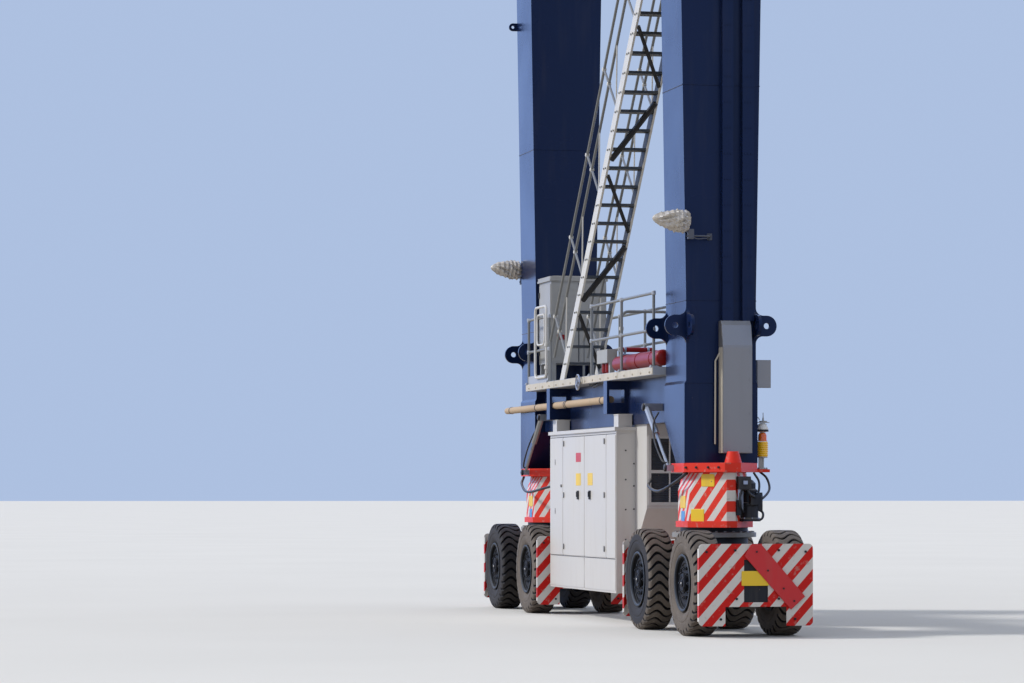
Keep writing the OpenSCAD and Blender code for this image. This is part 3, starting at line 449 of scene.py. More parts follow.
# The bogies. Under each turret a black box beam carries two axles and turns
# on a slew ring, which is bolted round. Ribs stiffen the beam's sides.
BEAM_SIDE = 0.28
AXLE_Y, AXLE_Z = 1.125, 0.685
finish_nodes(chassis_black, *[f"{corner}_bogie" for corner in CORNERS])
ring_grey = weathered("ring_grey", (0.2, 0.2, 0.2), (0.28, 0.28, 0.27), rough=0.5, dirt=0.6)
RING_BOLT_CIRCLE = 0.52
round_ring = np.linspace(0, 2 * np.pi, 28, endpoint=False)
CORNER_AT = {"front_a": (SIDE_A, SLEW_Y), "rear_a": (SIDE_A, -SLEW_Y),
             "front_b": (-SIDE_A, SLEW_Y), "rear_b": (-SIDE_A, -SLEW_Y)}
for corner, (x, y) in CORNER_AT.items():
    slab = turned([(x, y, 1.26)], (0, 0, 1),
                  [(0.45, 0), (0.56, 0.01), (0.56, 0.07), (0.45, 0.08)], 48)
    bolts = bolted([(x + RING_BOLT_CIRCLE * np.cos(a), y + RING_BOLT_CIRCLE * np.sin(a), 1.32,
                     0, 0, 1, 0.035, 0.035, 0.03) for a in round_ring])
    ribs = raised([(x + s * BEAM_SIDE, y + d, 0.8, s, 0, 0, 0.03, 0.6, 0.07)
                   for s in (-1, 1) for d in (-0.55, -0.2, 0.2, 0.55)])
    cheeks = turned([(x + s * BEAM_SIDE, y + d, AXLE_Z) for s in (-1, 1)
                     for d in (-AXLE_Y, AXLE_Y)],
                    (1, 0, 0), [(0.17, -0.06), (0.19, -0.05), (0.19, 0.05), (0.17, 0.06)], 24)
    put_mesh(f"{corner}_slew_slab", *joined(slab, bolts), ring_grey, f"{corner}_steer",
             "grey_paint")
    put_mesh(f"{corner}_beam_ribs", *joined(ribs, cheeks), chassis_black, f"{corner}_steer",
             "bogie_paint")

# The bumpers. A bent plate with a window closes each end of a bogie, painted
# with slanting bands, with a red board across one side and a bare yellow sign.
SIGNAL_RED = (0.62, 0.014, 0.01)
BUMPER_FACE = 1.92
bumper_stripes = striped("bumper_stripes", (1, 0), 0.9, 0.275, SIGNAL_RED, SHEET_WHITE, shift=0.21)
finish_nodes(bumper_stripes, *[f"{corner}_bumpers" for corner in CORNERS])
board_red = weathered("board_red", (0.6, 0.012, 0.01), (0.5, 0.012, 0.009), rough=0.35,
                      dirt=0.15, dust=0.1)


def sheet(outline, out, draw=0.99):
    """A flat plate with any outline. The outline is listed the anticlockwise way as seen from
    outside. It goes straight out by eight tenths of `out`, and is drawn in to its middle there."""
    outline, out = np.asarray(outline, float), np.asarray(out, float)
    inner = outline.mean(0) + (outline - outline.mean(0)) * draw
    levels = np.stack([outline, outline + 0.8 * out, inner + out])
    return levels[None], closed_faces(1, 3, len(outline))


BOARD = ((-0.16, 1.046), (0.461, 0.359), (0.649, 0.527), (0.067, 1.192), (-0.075, 1.192))
for corner, (x, y) in CORNER_AT.items():
    boards, signs, bolts = [], [], []
    for end in (-1, 1):
        face, s = y + end * BUMPER_FACE, -end
        boards.append(sheet([(x + s * u, face + end * 0.012, z) for u, z in BOARD],
                            (0, end * 0.014, 0)))
        signs.append((x - s * 0.01, face, 0.761, 0, end, 0, 0.37, 0.19, 0.012))
        bolts += [(x + s * u, face, z, 0, end, 0, 0.034, 0.034, 0.02)
                  for u, z in ((-0.28, 1.12), (0.3, 1.12), (-0.47, 0.24), (0.52, 0.24),
                               (-0.26, 0.5), (0.3, 0.5), (-0.66, 1.1), (0.66, 1.1))]
        bolts += [(x + s * u, face + end * 0.025, z, 0, end, 0, 0.026, 0.026, 0.014)
                  for u, z in ((0.0, 1.1), (0.15, 0.86), (0.36, 0.63), (0.5, 0.47))]
    put_mesh(f"{corner}_bumper_boards", *joined(*boards), board_red, f"{corner}_steer",
             "striped_red")
    put_mesh(f"{corner}_bumper_signs", *raised(signs), sign_yellow, f"{corner}_steer",
             "striped_red")
    put_mesh(f"{corner}_bumper_bolts", *bolted(bolts), chassis_black, f"{corner}_steer",
             "striped_red")

# The tyres. Sixteen deep-lugged rubber tyres, 1.37 m high, two on each axle.
# They are brown with the yard's dust. On each bogie the tyres of one axle are
# darker, by their walls on the front bogies and all over on the rear ones. This
# darkening is painted shade, and so is the near-black of the grooves.
TYRE_PROFILE = np.array([  # across from the middle, radius, share of the groove's depth
    (0.000, 0.685, 1), (0.028, 0.685, 1), (0.056, 0.685, 1), (0.084, 0.6845, 1),
    (0.112, 0.684, 1), (0.140, 0.683, 1), (0.162, 0.679, 1), (0.178, 0.667, 1),
    (0.187, 0.645, 0.85), (0.191, 0.618, 0.5), (0.192, 0.606, 0), (0.194, 0.585, 0),
    (0.195, 0.555, 0), (0.195, 0.528, 0), (0.189, 0.522, 0), (0.189, 0.507, 0),
    (0.193, 0.499, 0), (0.191, 0.470, 0), (0.184, 0.435, 0), (0.173, 0.408, 0),
    (0.166, 0.398, 0), (0.160, 0.386, 0), (0.150, 0.366, 0), (0.0, 0.365, 0)])
LUGS = 31
GROOVE_DEPTH = 0.04
TYRE_MIDDLE = 0.575
LUG_STEPS = np.array([0.0, 0.27, 0.31, 0.48, 0.64, 0.8, 0.96])
LUG_FLOOR = np.array([1, 1, 0, 0, 0, 0, 0])


def lugged_tyres(middle):
    """Two tyres on one axle. A profile across the tyre is carried round the axle. Round the
    tyre each lug takes seven steps, two of them on the groove's floor, and the step's angle is
    shifted by a sine of the place across, so that the lugs wave; the radius is the profile's
    less the groove's depth."""
    half = TYRE_PROFILE
    profile = np.vstack([half[:-1], (half[1:] * (-1, 1, 1))[::-1]])
    across, radius, groove = profile.T
    wave = 0.42 * np.sin(2 * np.pi * (across / 0.39 - 0.05) / 0.8) * (groove > 0)
    lug = np.arange(LUGS)[:, None] + LUG_STEPS[None]
    angle = (lug.reshape(-1)[:, None] + wave[None]) * 2 * np.pi / LUGS
    depth = np.tile(LUG_FLOOR, LUGS)[:, None] * groove[None]
    r = radius[None] - GROOVE_DEPTH * depth
    ring = np.stack([np.broadcast_to(across, r.shape), r * np.cos(angle), r * np.sin(angle)], -1)
    pair = np.stack([ring + (-TYRE_MIDDLE, 0, 0), ring * (-1, 1, 1) + (TYRE_MIDDLE, 0, 0)])
    faces = grid_faces(1, *r.shape, wrap_rows=True, wrap_columns=True)
    other_way = faces[:, ::-1] + r.size
    wall = np.broadcast_to(groove == 0, r.shape).reshape(-1)
    marks = {"groove": np.tile(depth.reshape(-1), 2), "wall": np.tile(wall, 2).astype(float)}
    return pair + (*middle, AXLE_Z), np.vstack([faces, other_way]), marks



def rubber_material(name, low, high, scuff, wall=None):
    """Tyre rubber. Dust in two shades and lighter scuffs lie on the lugs and the walls, and the
    grooves are painted near-black as shade. Where a colour is given for the walls, they are
    drawn towards it, a painted shade."""
    material, tree, shader, place = material_start(name)
    groove_mark = tree.nodes.new("ShaderNodeAttribute")
    groove_mark.attribute_name = "groove"
    wall_mark = tree.nodes.new("ShaderNodeAttribute")
    wall_mark.attribute_name = "wall"
    dusty = blended(tree, cloud(tree, place, 0.18, 6.0), low, high)
    scuffed = blended(tree, between(tree, cloud(tree, place, 0.03, 8.0, seed=2.0), 0.55, 0.75, 0.5),
                      dusty, scuff)
    if wall:
        scuffed = blended(tree, between(tree, wall_mark.outputs["Fac"], 0, 1, 0.9), scuffed, wall)
    # The grooves are painted near-black: painted shade in the recesses.
    rubber = blended(tree, between(tree, groove_mark.outputs["Fac"], 0.1, 0.6), scuffed,
                     (0.006, 0.0055, 0.0055))
    tree.links.new(rubber, shader.inputs["Base Color"])
    shader.inputs["Roughness"].default_value = 0.78
    shader.inputs["Specular IOR Level"].default_value = 0.3
    bump = tree.nodes.new("ShaderNodeBump")
    bump.inputs["Strength"].default_value = 0.35
    bump.inputs["Distance"].default_value = 0.004
    tree.links.new(cloud(tree, place, 0.02, 5.0), bump.inputs["Height"])
    tree.links.new(bump.outputs[0], shader.inputs["Normal"])
    return material


DUSTY = ((0.08, 0.066, 0.055), (0.17, 0.143, 0.12), (0.25, 0.215, 0.18))
dusty_rubber = rubber_material("dusty_rubber", *DUSTY)
# Painted shade: one axle on each bogie gets darker walls on the front bogies and darker tyres all
# over on the rear ones.
shade_walled_rubber = rubber_material("shade_walled_rubber", *DUSTY, wall=(0.022, 0.022, 0.025))
shaded_rubber = rubber_material("shaded_rubber", (0.022, 0.02, 0.02), (0.045, 0.04, 0.037),
                              (0.09, 0.078, 0.068))
for corner in CORNERS:
    for axle in (1, 2):
        node = f"{corner}_tyres_{axle}"
        low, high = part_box(node)
        middle = ((low.x + high.x) / 2, (low.y + high.y) / 2)
        points, faces, marks = lugged_tyres(middle)
        shaded = shade_walled_rubber if corner.startswith("front") else shaded_rubber
        rubber = shaded if middle[1] > CORNER_AT[corner][1] else dusty_rubber
        tyres = put_mesh(f"{corner}_lugged_tyres_{axle}", points, faces.tolist(), rubber,
                         f"{corner}_axle_{axle}", "tyre_rubber")
        for mark, values in marks.items():
            tyres.data.attributes.new(mark, "FLOAT", "POINT").data.foreach_set("value", values)
        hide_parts(node)

# The wheel hubs. Steel rims, black inside, with a blue-grey lip and a disc that
# is bolted to the hub by ten nuts. A stepped cap with a white mark closes the
# axle's end.
rim_black = weathered("rim_black", (0.007, 0.007, 0.008), (0.014, 0.013, 0.013), rough=0.6,
                      dirt=0.08, dust=0.05, chips=0.85, grain=0.02, facing=0.3)
finish_nodes(rim_black, *[f"{corner}_hubs_{axle}" for corner in CORNERS for axle in (1, 2)])
rim_paint = weathered("rim_paint", (0.02, 0.026, 0.033), (0.035, 0.042, 0.05), rough=0.5,
                      dirt=0.25, dust=0.15, facing=0.4)
nut_dark = weathered("nut_dark", (0.015, 0.016, 0.018), (0.03, 0.03, 0.033), rough=0.55,
                     dirt=0.25, dust=0.1, facing=0.4)
cap_white = weathered("cap_white", SHEET_WHITE, SHEET_WHITE, dirt=0.1)


def hoops(places, way, profile, sides=32):
    """Rings. A closed profile, listed up its outer side and down its inner side, is carried round
    the axis `way` through each place."""
    points, _ = turned(places, way, profile, sides)
    return points, grid_faces(len(points), len(profile), sides, True, True).tolist()


LIP = ((0.374, -0.008), (0.374, 0.003), (0.368, 0.007), (0.352, 0.007), (0.345, 0.001),
       (0.338, -0.016), (0.336, -0.04), (0.33, -0.04), (0.33, -0.045), (0.36, -0.045))
DISC_RIDGE = ((0.3, 0.0), (0.29, 0.012), (0.265, 0.014), (0.255, 0.0))
CAP = ((0.115, 0), (0.115, 0.008), (0.1, 0.014), (0.085, 0.014), (0.078, 0.006), (0.05, 0.006),
       (0.045, 0.019), (0.02, 0.022))
LIP_X, DISC_X, CAP_X, MARK_X = 0.758, 0.705, 0.75, 0.771
NUT_CIRCLE, CAP_SCREW_CIRCLE = 0.2, 0.1
around = np.linspace(0, 2 * np.pi, 10, endpoint=False)
for corner, (x, y) in CORNER_AT.items():
    for axle in (1, 2):
        at_y = y + math.copysign(AXLE_Y, y) * (1 if axle == 1 else -1)
        lips, discs, nuts, marks = [], [], [], []
        for s in (-1, 1):
            out = (s, 0, 0)
            lips.append(hoops([(x + s * LIP_X, at_y, AXLE_Z)], out, LIP, 48))
            discs += [hoops([(x + s * DISC_X, at_y, AXLE_Z)], out, DISC_RIDGE, 40),
                      turned([(x + s * CAP_X, at_y, AXLE_Z)], out, CAP, 32)]
            nuts.append(bolted([
                (x + s * DISC_X, at_y + NUT_CIRCLE * math.cos(a), AXLE_Z + NUT_CIRCLE * math.sin(a),
                 *out, d, d, t) for a in around for d, t in ((0.052, 0.03), (0.026, 0.048))]))
            nuts.append(bolted([
                (x + s * CAP_X, at_y + CAP_SCREW_CIRCLE * math.cos(a),
                 AXLE_Z + CAP_SCREW_CIRCLE * math.sin(a), *out, 0.018, 0.018, 0.022)
                for a in around[::2]]))
            nuts.append(raised([(x + s * 0.706, at_y - 0.2, 0.82, *out, 0.07, 0.026, 0.005)]))
            marks.append((x + s * MARK_X, at_y, AXLE_Z, *out, 0.028, 0.028, 0.004))
        body = f"{corner}_axle_{axle}"
        put_mesh(f"{corner}_rim_lips_{axle}", *joined(*lips), rim_paint, body, "hub_paint", True)
        put_mesh(f"{corner}_hub_caps_{axle}", *joined(*discs), rim_black, body, "hub_paint")
        put_mesh(f"{corner}_wheel_nuts_{axle}", *joined(*nuts), nut_dark, body, "hub_paint")
        put_mesh(f"{corner}_cap_marks_{axle}", *raised(marks, 1.0), cap_white, body, "white_paint")

# The power cabinets. White sheet boxes hung outside each sill beam, with four
# doors on hinges, a rain lip, bare coloured plates and two small roof vents.
cabinet_white = weathered("cabinet_white", (0.54, 0.525, 0.505), (0.6, 0.585, 0.565),
                          rough=0.38, dirt=0.12, grime=(0.34, 0.29, 0.23), dust=0.3, chips=0.78)
finish_nodes(cabinet_white, "power_cabinets", "engine_housings")
lock_grey = weathered("lock_grey", (0.16, 0.16, 0.16), (0.26, 0.26, 0.26), dirt=0.5)
black_seal_and_gap_shade = weathered("black_seal_and_gap_shade", (0.015, 0.015, 0.016), (0.03, 0.03, 0.03), rough=0.6,
                       dirt=0.2, dust=0.3)
CABINET_X = -12.335
DOOR_FACE, PLATE_FACE = CABINET_X - 0.008, CABINET_X - 0.009
DOOR_LOW, DOOR_TOP = 0.93, 2.69
FLAP_LOW, FLAP_TOP = 0.47, 0.914
DOOR_EDGES = ((-1.6, -1.077), (-1.063, 0.213), (0.227, 1.543), (1.557, 2.36))
FLAP_EDGES = ((-1.6, 0.213), (0.227, 2.36))
HANDLE_Y = (0.57, -0.14)
OUT = (-1, 0, 0)
FRONT = (0, -1, 0)


def plated(rows):
    """Thin sheet with square corners, one piece for each row of `raised`."""
    return raised(rows, 0.03, 8, 0.995)


doors = plated([(CABINET_X, (a + b) / 2, (low + top) / 2, *OUT, b - a, top - low, 0.009)
                for edges, low, top in ((DOOR_EDGES, DOOR_LOW, DOOR_TOP),
                                        (FLAP_EDGES, FLAP_LOW, FLAP_TOP)) for a, b in edges])
ends = plated([(SIDE_A - 0.457, y, 1.6, 0, s, 0, 0.25, 2.2, 0.006)
               for y, s in ((-1.62, -1), (2.38, 1))])
caps = raised([(SIDE_A - 0.46, y, 2.96, 0, 0, 1, 0.23, 0.28, 0.014) for y in (-1.475, 2.235)], 0.2)
put_mesh("cabinet_doors", *on_sides(joined(doors, ends, caps)), cabinet_white, "crane",
         "white_paint")
# Thin black strips in the doors' gaps: painted shade in the gaps.
seams = plated([(CABINET_X, y, 1.81, *OUT, 0.008, 1.77, 0.003) for y in (-1.07, 0.22, 1.55)]
               + [(CABINET_X, 0.38, z, *OUT, 3.96, 0.008, 0.003) for z in (0.922, 2.697)]
               + [(CABINET_X, 0.22, 0.69, *OUT, 0.008, 0.44, 0.003)])
locks = raised([(DOOR_FACE, y, z, *OUT, 0.042, 0.085, 0.018)
                for y in (1.47, -0.99) for z in (2.6, 1.83, 1.06)]
               + [(DOOR_FACE, 2.03, z, *OUT, 0.03, 0.09, 0.006) for z in (2.33, 1.59)]
               + [(DOOR_FACE, 1.62, 1.97, *OUT, 0.045, 0.045, 0.02)], 1.0, 12)
latches = raised([(DOOR_FACE, y, 1.83, *OUT, 0.07, 0.13, 0.022) for y in HANDLE_Y]
                 + [(CABINET_X - 0.028, y, 1.84, *OUT, 0.03, 0.08, 0.016) for y in HANDLE_Y])
end_dots = raised([(SIDE_A + u, -1.626, z, *FRONT, 0.024, 0.024, 0.008)
                   for u, zs in ((-0.465, (2.459, 2.047, 1.623, 1.2, 0.78)),
                                 (-0.345, (2.272, 1.957, 1.63, 1.2, 0.78))) for z in zs], 1.0, 8)
put_mesh("cabinet_hinges", *on_sides(locks), lock_grey, "crane", "white_paint")
put_mesh("cabinet_gap_shade_and_locks", *on_sides(joined(seams, latches, end_dots)), black_seal_and_gap_shade,
         "crane", "white_paint")
red_plate = raised([(PLATE_FACE, HANDLE_Y[0], 2.385, *OUT, 0.3, 0.135, 0.003)])
put_mesh("cabinet_red_plates", *on_sides(red_plate), board_red, "crane", "red_paint")
yellow_plates = raised([(PLATE_FACE, y, 2.06, *OUT, 0.3, 0.18, 0.003) for y in HANDLE_Y])
put_mesh("cabinet_yellow_plates", *on_sides(yellow_plates), sign_yellow, "crane",
         "yellow_paint")

# The engine houses. White sheet boxes under each sill beam on the lane side of
# the cabinets, with louvred ends, service doors and a floor that slopes up.
HOUSE_ENDS = ((-2.22, -1), (2.3, 1))
frames, blades = [], []
for y, s in HOUSE_ENDS:
    way = (0, s, 0)
    middle = SIDE_A + 0.16
    frames += [(middle, y, z, *way, 0.9, 0.045, 0.022) for z in (1.705, 2.155, 2.64)]
    frames += [(SIDE_A + u, y, 2.17, *way, w, 0.98, 0.024)
               for u, w in ((-0.28, 0.045), (0.01, 0.02), (0.31, 0.02), (0.6, 0.045))]
    blades += [(middle, y + s * 0.002, 2.17, *way, 0.86, 0.92, 0.003)]
    blades += [(middle, y + s * 0.004, z, 0, s, 0.6, 0.86, 0.026, 0.006)
               for low in (1.74, 2.19) for z in low + 0.031 * np.arange(13)]
LANE_FACE, LANE = SIDE_A + 0.635, (1, 0, 0)
side_doors, side_slots, handles = [], [], []
for i in range(3):
    y = -1.2 + 1.22 * i
    side_doors.append((LANE_FACE, y, 2.0, *LANE, 1.19, 1.5, 0.012))
    frames += [(LANE_FACE + 0.012, y + w, 1.95, *LANE, 0.03, 1.0, 0.01) for w in (-0.42, 0.42)]
    side_slots += [(LANE_FACE + 0.011, y, 1.45 + 0.04 * j, *LANE, 0.8, 0.02, 0.006)
                   for j in range(24)]
    handles += [(LANE_FACE + 0.012, y + 0.52, 2.0, *LANE, 0.035, 0.16, 0.03),
                (LANE_FACE + 0.012, y - 0.57, 2.5, *LANE, 0.05, 0.12, 0.02),
                (LANE_FACE + 0.012, y - 0.57, 1.5, *LANE, 0.05, 0.12, 0.02)]
put_mesh("housing_frames", *on_sides(plated(frames + side_doors)), cabinet_white, "crane",
         "white_paint")
louvres = joined(plated(blades + side_slots), raised(handles))
put_mesh("housing_louvres", *on_sides(louvres), black_seal_and_gap_shade, "crane", "white_paint")

# The platforms. Galvanised chequer plate on the sill beams with toe boards and
# grey tube rails on flanged feet. A gate of bent grey tube stands across the
# deck, and a white one at its outer edge.
galvanised = weathered("galvanised_steel", (0.36, 0.37, 0.38), (0.48, 0.49, 0.5), rough=0.45,
                       metallic=0.3, dirt=0.2, dust=0.2, chips=0.8)
finish_nodes(galvanised, "platform_decks", "stair_landing", "caged_ladder", "girder_walkways")
rail_grey = weathered("rail_grey", (0.15, 0.155, 0.155), (0.23, 0.235, 0.23), rough=0.42,
                      dirt=0.3)
finish_nodes(rail_grey, "platform_rails")
DECK = 3.56
RAIL_END = 3.73
RAIL_HEIGHTS = (0.47, 0.97)
COLLAR = ((0.024, 0), (0.03, 0.008), (0.03, 0.052), (0.024, 0.06))
LOZENGE = (0.06, 0.014, 0.004)
LOZENGE_TURN = 0.785


def chequered(places, height, row):
    """The lozenges of chequer plate, turned one way and the other by turns. There are `row` of
    them in a row, and each row starts the other way."""
    turns = [LOZENGE_TURN if (i + i // row) % 2 else -LOZENGE_TURN for i in range(len(places))]
    return raised([(SIDE_A + u, v, height, 0, 0, 1, *LOZENGE, turn)
                   for (u, v), turn in zip(places, turns)], 1.0, 6)


grid_x, grid_y = np.meshgrid(np.arange(-0.6, 0.45, 0.11), np.arange(-3.7, RAIL_END, 0.11))
lozenges = chequered(list(zip(grid_x.ravel(), grid_y.ravel())), DECK, grid_x.shape[1])
feet_at = [(0.455, y) for y in np.linspace(-RAIL_END, RAIL_END, 6)]
feet_at += [(-0.625, y) for y in (-RAIL_END, -2.015, -0.3, 2.361, RAIL_END)]
feet = joined(raised([(SIDE_A + u, y, DECK, 0, 0, 1, 0.11, 0.1, 0.012) for u, y in feet_at]),
              bolted([(SIDE_A + u + d, y, DECK + 0.012, 0, 0, 1, 0.024, 0.024, 0.014)
                      for u, y in feet_at for d in (-0.038, 0.038)]),
              turned([(SIDE_A + u, y, DECK + h) for u, y in feet_at for h in RAIL_HEIGHTS],
                     (0, 0, 1), COLLAR, 10))
toes = plated([(SIDE_A + 0.462, 0, DECK + 0.06, 1, 0, 0, 7.5, 0.12, 0.005),
               (SIDE_A - 0.632, 3.05, DECK + 0.06, *OUT, 1.4, 0.12, 0.005)])
put_mesh("deck_details", *on_sides(joined(lozenges, feet, toes)), galvanised, "crane",
         "galvanised_steel")
edge_cream = weathered("edge_cream", (0.5, 0.45, 0.36), (0.58, 0.53, 0.44), rough=0.5,
                       dirt=0.3)
edges = joined(plated([(SIDE_A + u, y, 3.505, s, 0, 0, 1.88, 0.1, 0.008)
                       for u, s in ((-0.655, -1), (0.485, 1)) for y in (-2.85, -0.95, 0.95, 2.85)]),
               bolted([(SIDE_A - 0.663, y, 3.49, *OUT, 0.026, 0.026, 0.014)
                       for y in np.arange(-3.65, 3.7, 0.45)]))
put_mesh("deck_edges", *on_sides(edges), edge_cream, "crane", "galvanised_steel")


def bent_tube(corners, radius, bend=0.1, sides=8):
    """A tube along straight lines through the corners, each corner cut by a quarter bend that
    starts `bend` before it and is drawn as a parabola."""
    c = np.asarray(corners, float)
    path = [c[0]]
    for before, at, after in zip(c[:-2], c[1:-1], c[2:]):
        start = at + (before - at) / np.linalg.norm(before - at) * bend
        end = at + (after - at) / np.linalg.norm(after - at) * bend
        t = np.linspace(0, 1, 6)[:, None]
        path += list((1 - t) ** 2 * start + 2 * t * (1 - t) * at + t ** 2 * end)
    return pipe(np.array(path + [c[-1]]), radius, sides)


def gate(y1, y2, low, high, u, radius):
    """A closed loop of bent tube in a plane along the travel."""
    x = SIDE_A + u
    mid = (y1 + y2) / 2
    return bent_tube([(x, mid, low), (x, y1, low), (x, y1, high), (x, y2, high), (x, y2, low),
                      (x, mid, low)], radius)


GATE_TUBE = 0.021
GATE_HINGE = ((0.02, 0), (0.034, 0.004), (0.034, 0.05), (0.02, 0.054))
FRONT_GATE_Y = -1.64
front_gate = [(SIDE_A + u, FRONT_GATE_Y, z)
              for u, z in ((-0.53, 3.58), (-0.53, 4.42), (0.2, 4.42), (0.2, 3.58))]
put_mesh("front_gate", *on_sides(bent_tube(front_gate, GATE_TUBE, 0.12)), rail_grey, "crane",
         "galvanised_steel")
hinges_at = ((-0.53, FRONT_GATE_Y, 4.15), (-0.655, 2.42, 4.1), (-0.655, 2.42, 3.75))
gates = joined(gate(2.42, 3.16, 3.64, 4.72, -0.655, GATE_TUBE),
               gate(2.54, 3.04, 4.14, 4.6, -0.655, 0.016),
               turned([(SIDE_A + u, y, z) for u, y, z in hinges_at], (0, 0, 1), GATE_HINGE, 12))
gate_white = weathered("gate_white", (0.58, 0.57, 0.55), (0.66, 0.65, 0.63), dirt=0.2)
put_mesh("platform_gates", *on_sides(gates), gate_white, "crane", "white_paint")

# The things on the platform of side A. A sheet steel control cabinet, a socket
# box with two red plugs, two red pressure cylinders and a small hand wheel.
cabinet_grey = weathered("cabinet_grey", (0.3, 0.3, 0.29), (0.38, 0.38, 0.37),
                         rough=0.45, dirt=0.25)
finish_nodes(cabinet_grey, "control_cabinet", "plug_box")
CASE_OUT, CASE_LANE, CASE_FRONT = SIDE_A - 0.45, SIDE_A + 0.425, 2.96
CASE_MIDDLE = (CASE_OUT + CASE_LANE) / 2
panels = joined(
    plated([(CASE_OUT, 3.355, 4.5, *OUT, 0.74, 1.2, 0.01),
            (CASE_MIDDLE - 0.22, CASE_FRONT, 4.5, *FRONT, 0.41, 1.22, 0.008),
            (CASE_MIDDLE + 0.22, CASE_FRONT, 4.5, *FRONT, 0.41, 1.22, 0.008),
            (CASE_MIDDLE, 3.75, 4.5, 0, 1, 0, 0.83, 1.22, 0.008),
            (CASE_LANE, 3.355, 4.5, 1, 0, 0, 0.74, 1.2, 0.01)]),
    raised([(CASE_MIDDLE, 3.35, 5.17, 0, 0, 1, 0.93, 0.84, 0.05)], 0.06, 16, 0.86),
    raised([(SIDE_A - 0.33 + 0.075 * i, CASE_FRONT - 0.008, 4.55 + 0.09 * j, *FRONT,
             0.03, 0.014, 0.006) for i in range(4) for j in range(6)]))
put_mesh("control_cabinet_panels", *panels, cabinet_grey, "crane", "grey_paint")
dark = joined(
    raised([(CASE_MIDDLE, CASE_FRONT, 4.5, *FRONT, 0.012, 1.22, 0.003),
            (SIDE_A - 0.07, CASE_FRONT - 0.008, 4.45, *FRONT, 0.035, 0.14, 0.02),
            (SIDE_A + 0.04, CASE_FRONT - 0.008, 4.45, *FRONT, 0.035, 0.14, 0.02),
            (CASE_OUT - 0.01, 3.06, 4.5, *OUT, 0.03, 0.14, 0.02)]
           + [(CASE_OUT - 0.01, 3.7, z, *OUT, 0.03, 0.09, 0.018) for z in (4.05, 4.95)]),
    pipe(smooth_path([(SIDE_A - 0.525, -0.9, 3.6), (SIDE_A - 0.56, -0.86, 3.5),
                      (SIDE_A - 0.6, -0.6, 3.42), (SIDE_A - 0.58, -0.2, 3.4),
                      (SIDE_A - 0.5, 0.0, 3.44)]), 0.017),
    pipe(smooth_path([(SIDE_A - 0.525, -0.7, 3.6), (SIDE_A - 0.55, -0.66, 3.52),
                      (SIDE_A - 0.59, -0.45, 3.45), (SIDE_A - 0.55, 0.1, 3.44)]), 0.017))
put_mesh("control_cabinet_seals", *dark, black_seal_and_gap_shade, "crane", "grey_paint")
plain_red = weathered("plain_red", (0.27, 0.006, 0.005), (0.2, 0.005, 0.004), dirt=0.1,
                      dust=0.05, facing=0.4)
finish_nodes(plain_red, "red_cylinder")
CYLINDER_X, CYLINDER_Z = SIDE_A - 0.47, DECK + 0.13
RACK_Y, RACK_TOP = -1.18, 3.9
DOME, THIN_DOME = ([(r * math.cos(a), h * math.sin(a)) for a in np.linspace(0, 1.45, 7)]
                   for r, h in ((0.111, 0.06), (0.035, 0.03)))
reds = joined(
    turned([(CYLINDER_X, -1.3, CYLINDER_Z)], (0, 1, 0), DOME, 32),
    turned([(CYLINDER_X, -3.65, CYLINDER_Z)], (0, -1, 0), DOME, 32),
    turned([(SIDE_A + 0.03, RACK_Y, RACK_TOP)], (1, 0, 0), THIN_DOME, 20),
    turned([(SIDE_A + 0.03, RACK_Y, RACK_TOP)], OUT, [(0.035, 0), (0.035, 0.44), (0.02, 0.46)], 20),
    hoops([(CYLINDER_X, y, CYLINDER_Z) for y in (-3.29, -2.55, -1.79)], (0, 1, 0),
          ((0.109, 0), (0.117, 0.004), (0.117, 0.04), (0.109, 0.044), (0.105, 0.02)), 32),
    turned([(SIDE_A - 0.525, y, 3.595) for y in (-0.9, -0.7)], (0, 0, 1),
           ((0.03, -0.05), (0.036, -0.02), (0.05, 0), (0.05, 0.1), (0.046, 0.122)), 20),
    raised([(SIDE_A - 0.3, CASE_FRONT - 0.008, 4.27, *FRONT, 0.12, 0.08, 0.004)]))
put_mesh("red_fittings", *reds, plain_red, "crane", "red_paint")
VALVE = ((0.025, 0), (0.025, 0.03), (0.014, 0.035), (0.014, 0.06), (0.03, 0.065), (0.03, 0.085))
CLAMP = ((0.036, 0), (0.041, 0.003), (0.041, 0.03), (0.036, 0.033), (0.033, 0.015))
HAND_WHEEL = (0.225, 3.48)
WHEEL_RIM = [(0.11 + 0.012 * math.cos(a), 0.04 + 0.012 * math.sin(a))
             for a in np.linspace(0, 2 * np.pi, 8, endpoint=False)]
WHEEL_HUB = ((0.02, 0), (0.02, 0.05), (0.03, 0.052), (0.03, 0.07))
metal = joined(
    turned([(CYLINDER_X, -1.4, CYLINDER_Z + 0.105)], (0, 0, 1), VALVE, 12),
    pipe([(SIDE_A + u, RACK_Y, 3.83) for u in (-0.4, -0.2, 0.2, 0.44)], 0.014),
    raised([(SIDE_A + u, RACK_Y, DECK, 0, 0, 1, 0.03, 0.03, 0.34) for u in (-0.36, -0.02, 0.4)]),
    hoops([(SIDE_A + u, RACK_Y, RACK_TOP) for u in (-0.375, -0.035)], (1, 0, 0), CLAMP, 20),
    hoops([(SIDE_A - 0.665, *HAND_WHEEL)], OUT, WHEEL_RIM),
    turned([(SIDE_A - 0.65, *HAND_WHEEL)], OUT, WHEEL_HUB, 12),
    raised([(SIDE_A - 0.7, *HAND_WHEEL, *OUT, 0.2, 0.02, 0.008, a) for a in (0.3, 1.35, 2.4)]))
put_mesh("platform_fittings", *metal, steel_bright, "crane", "rail_steel")

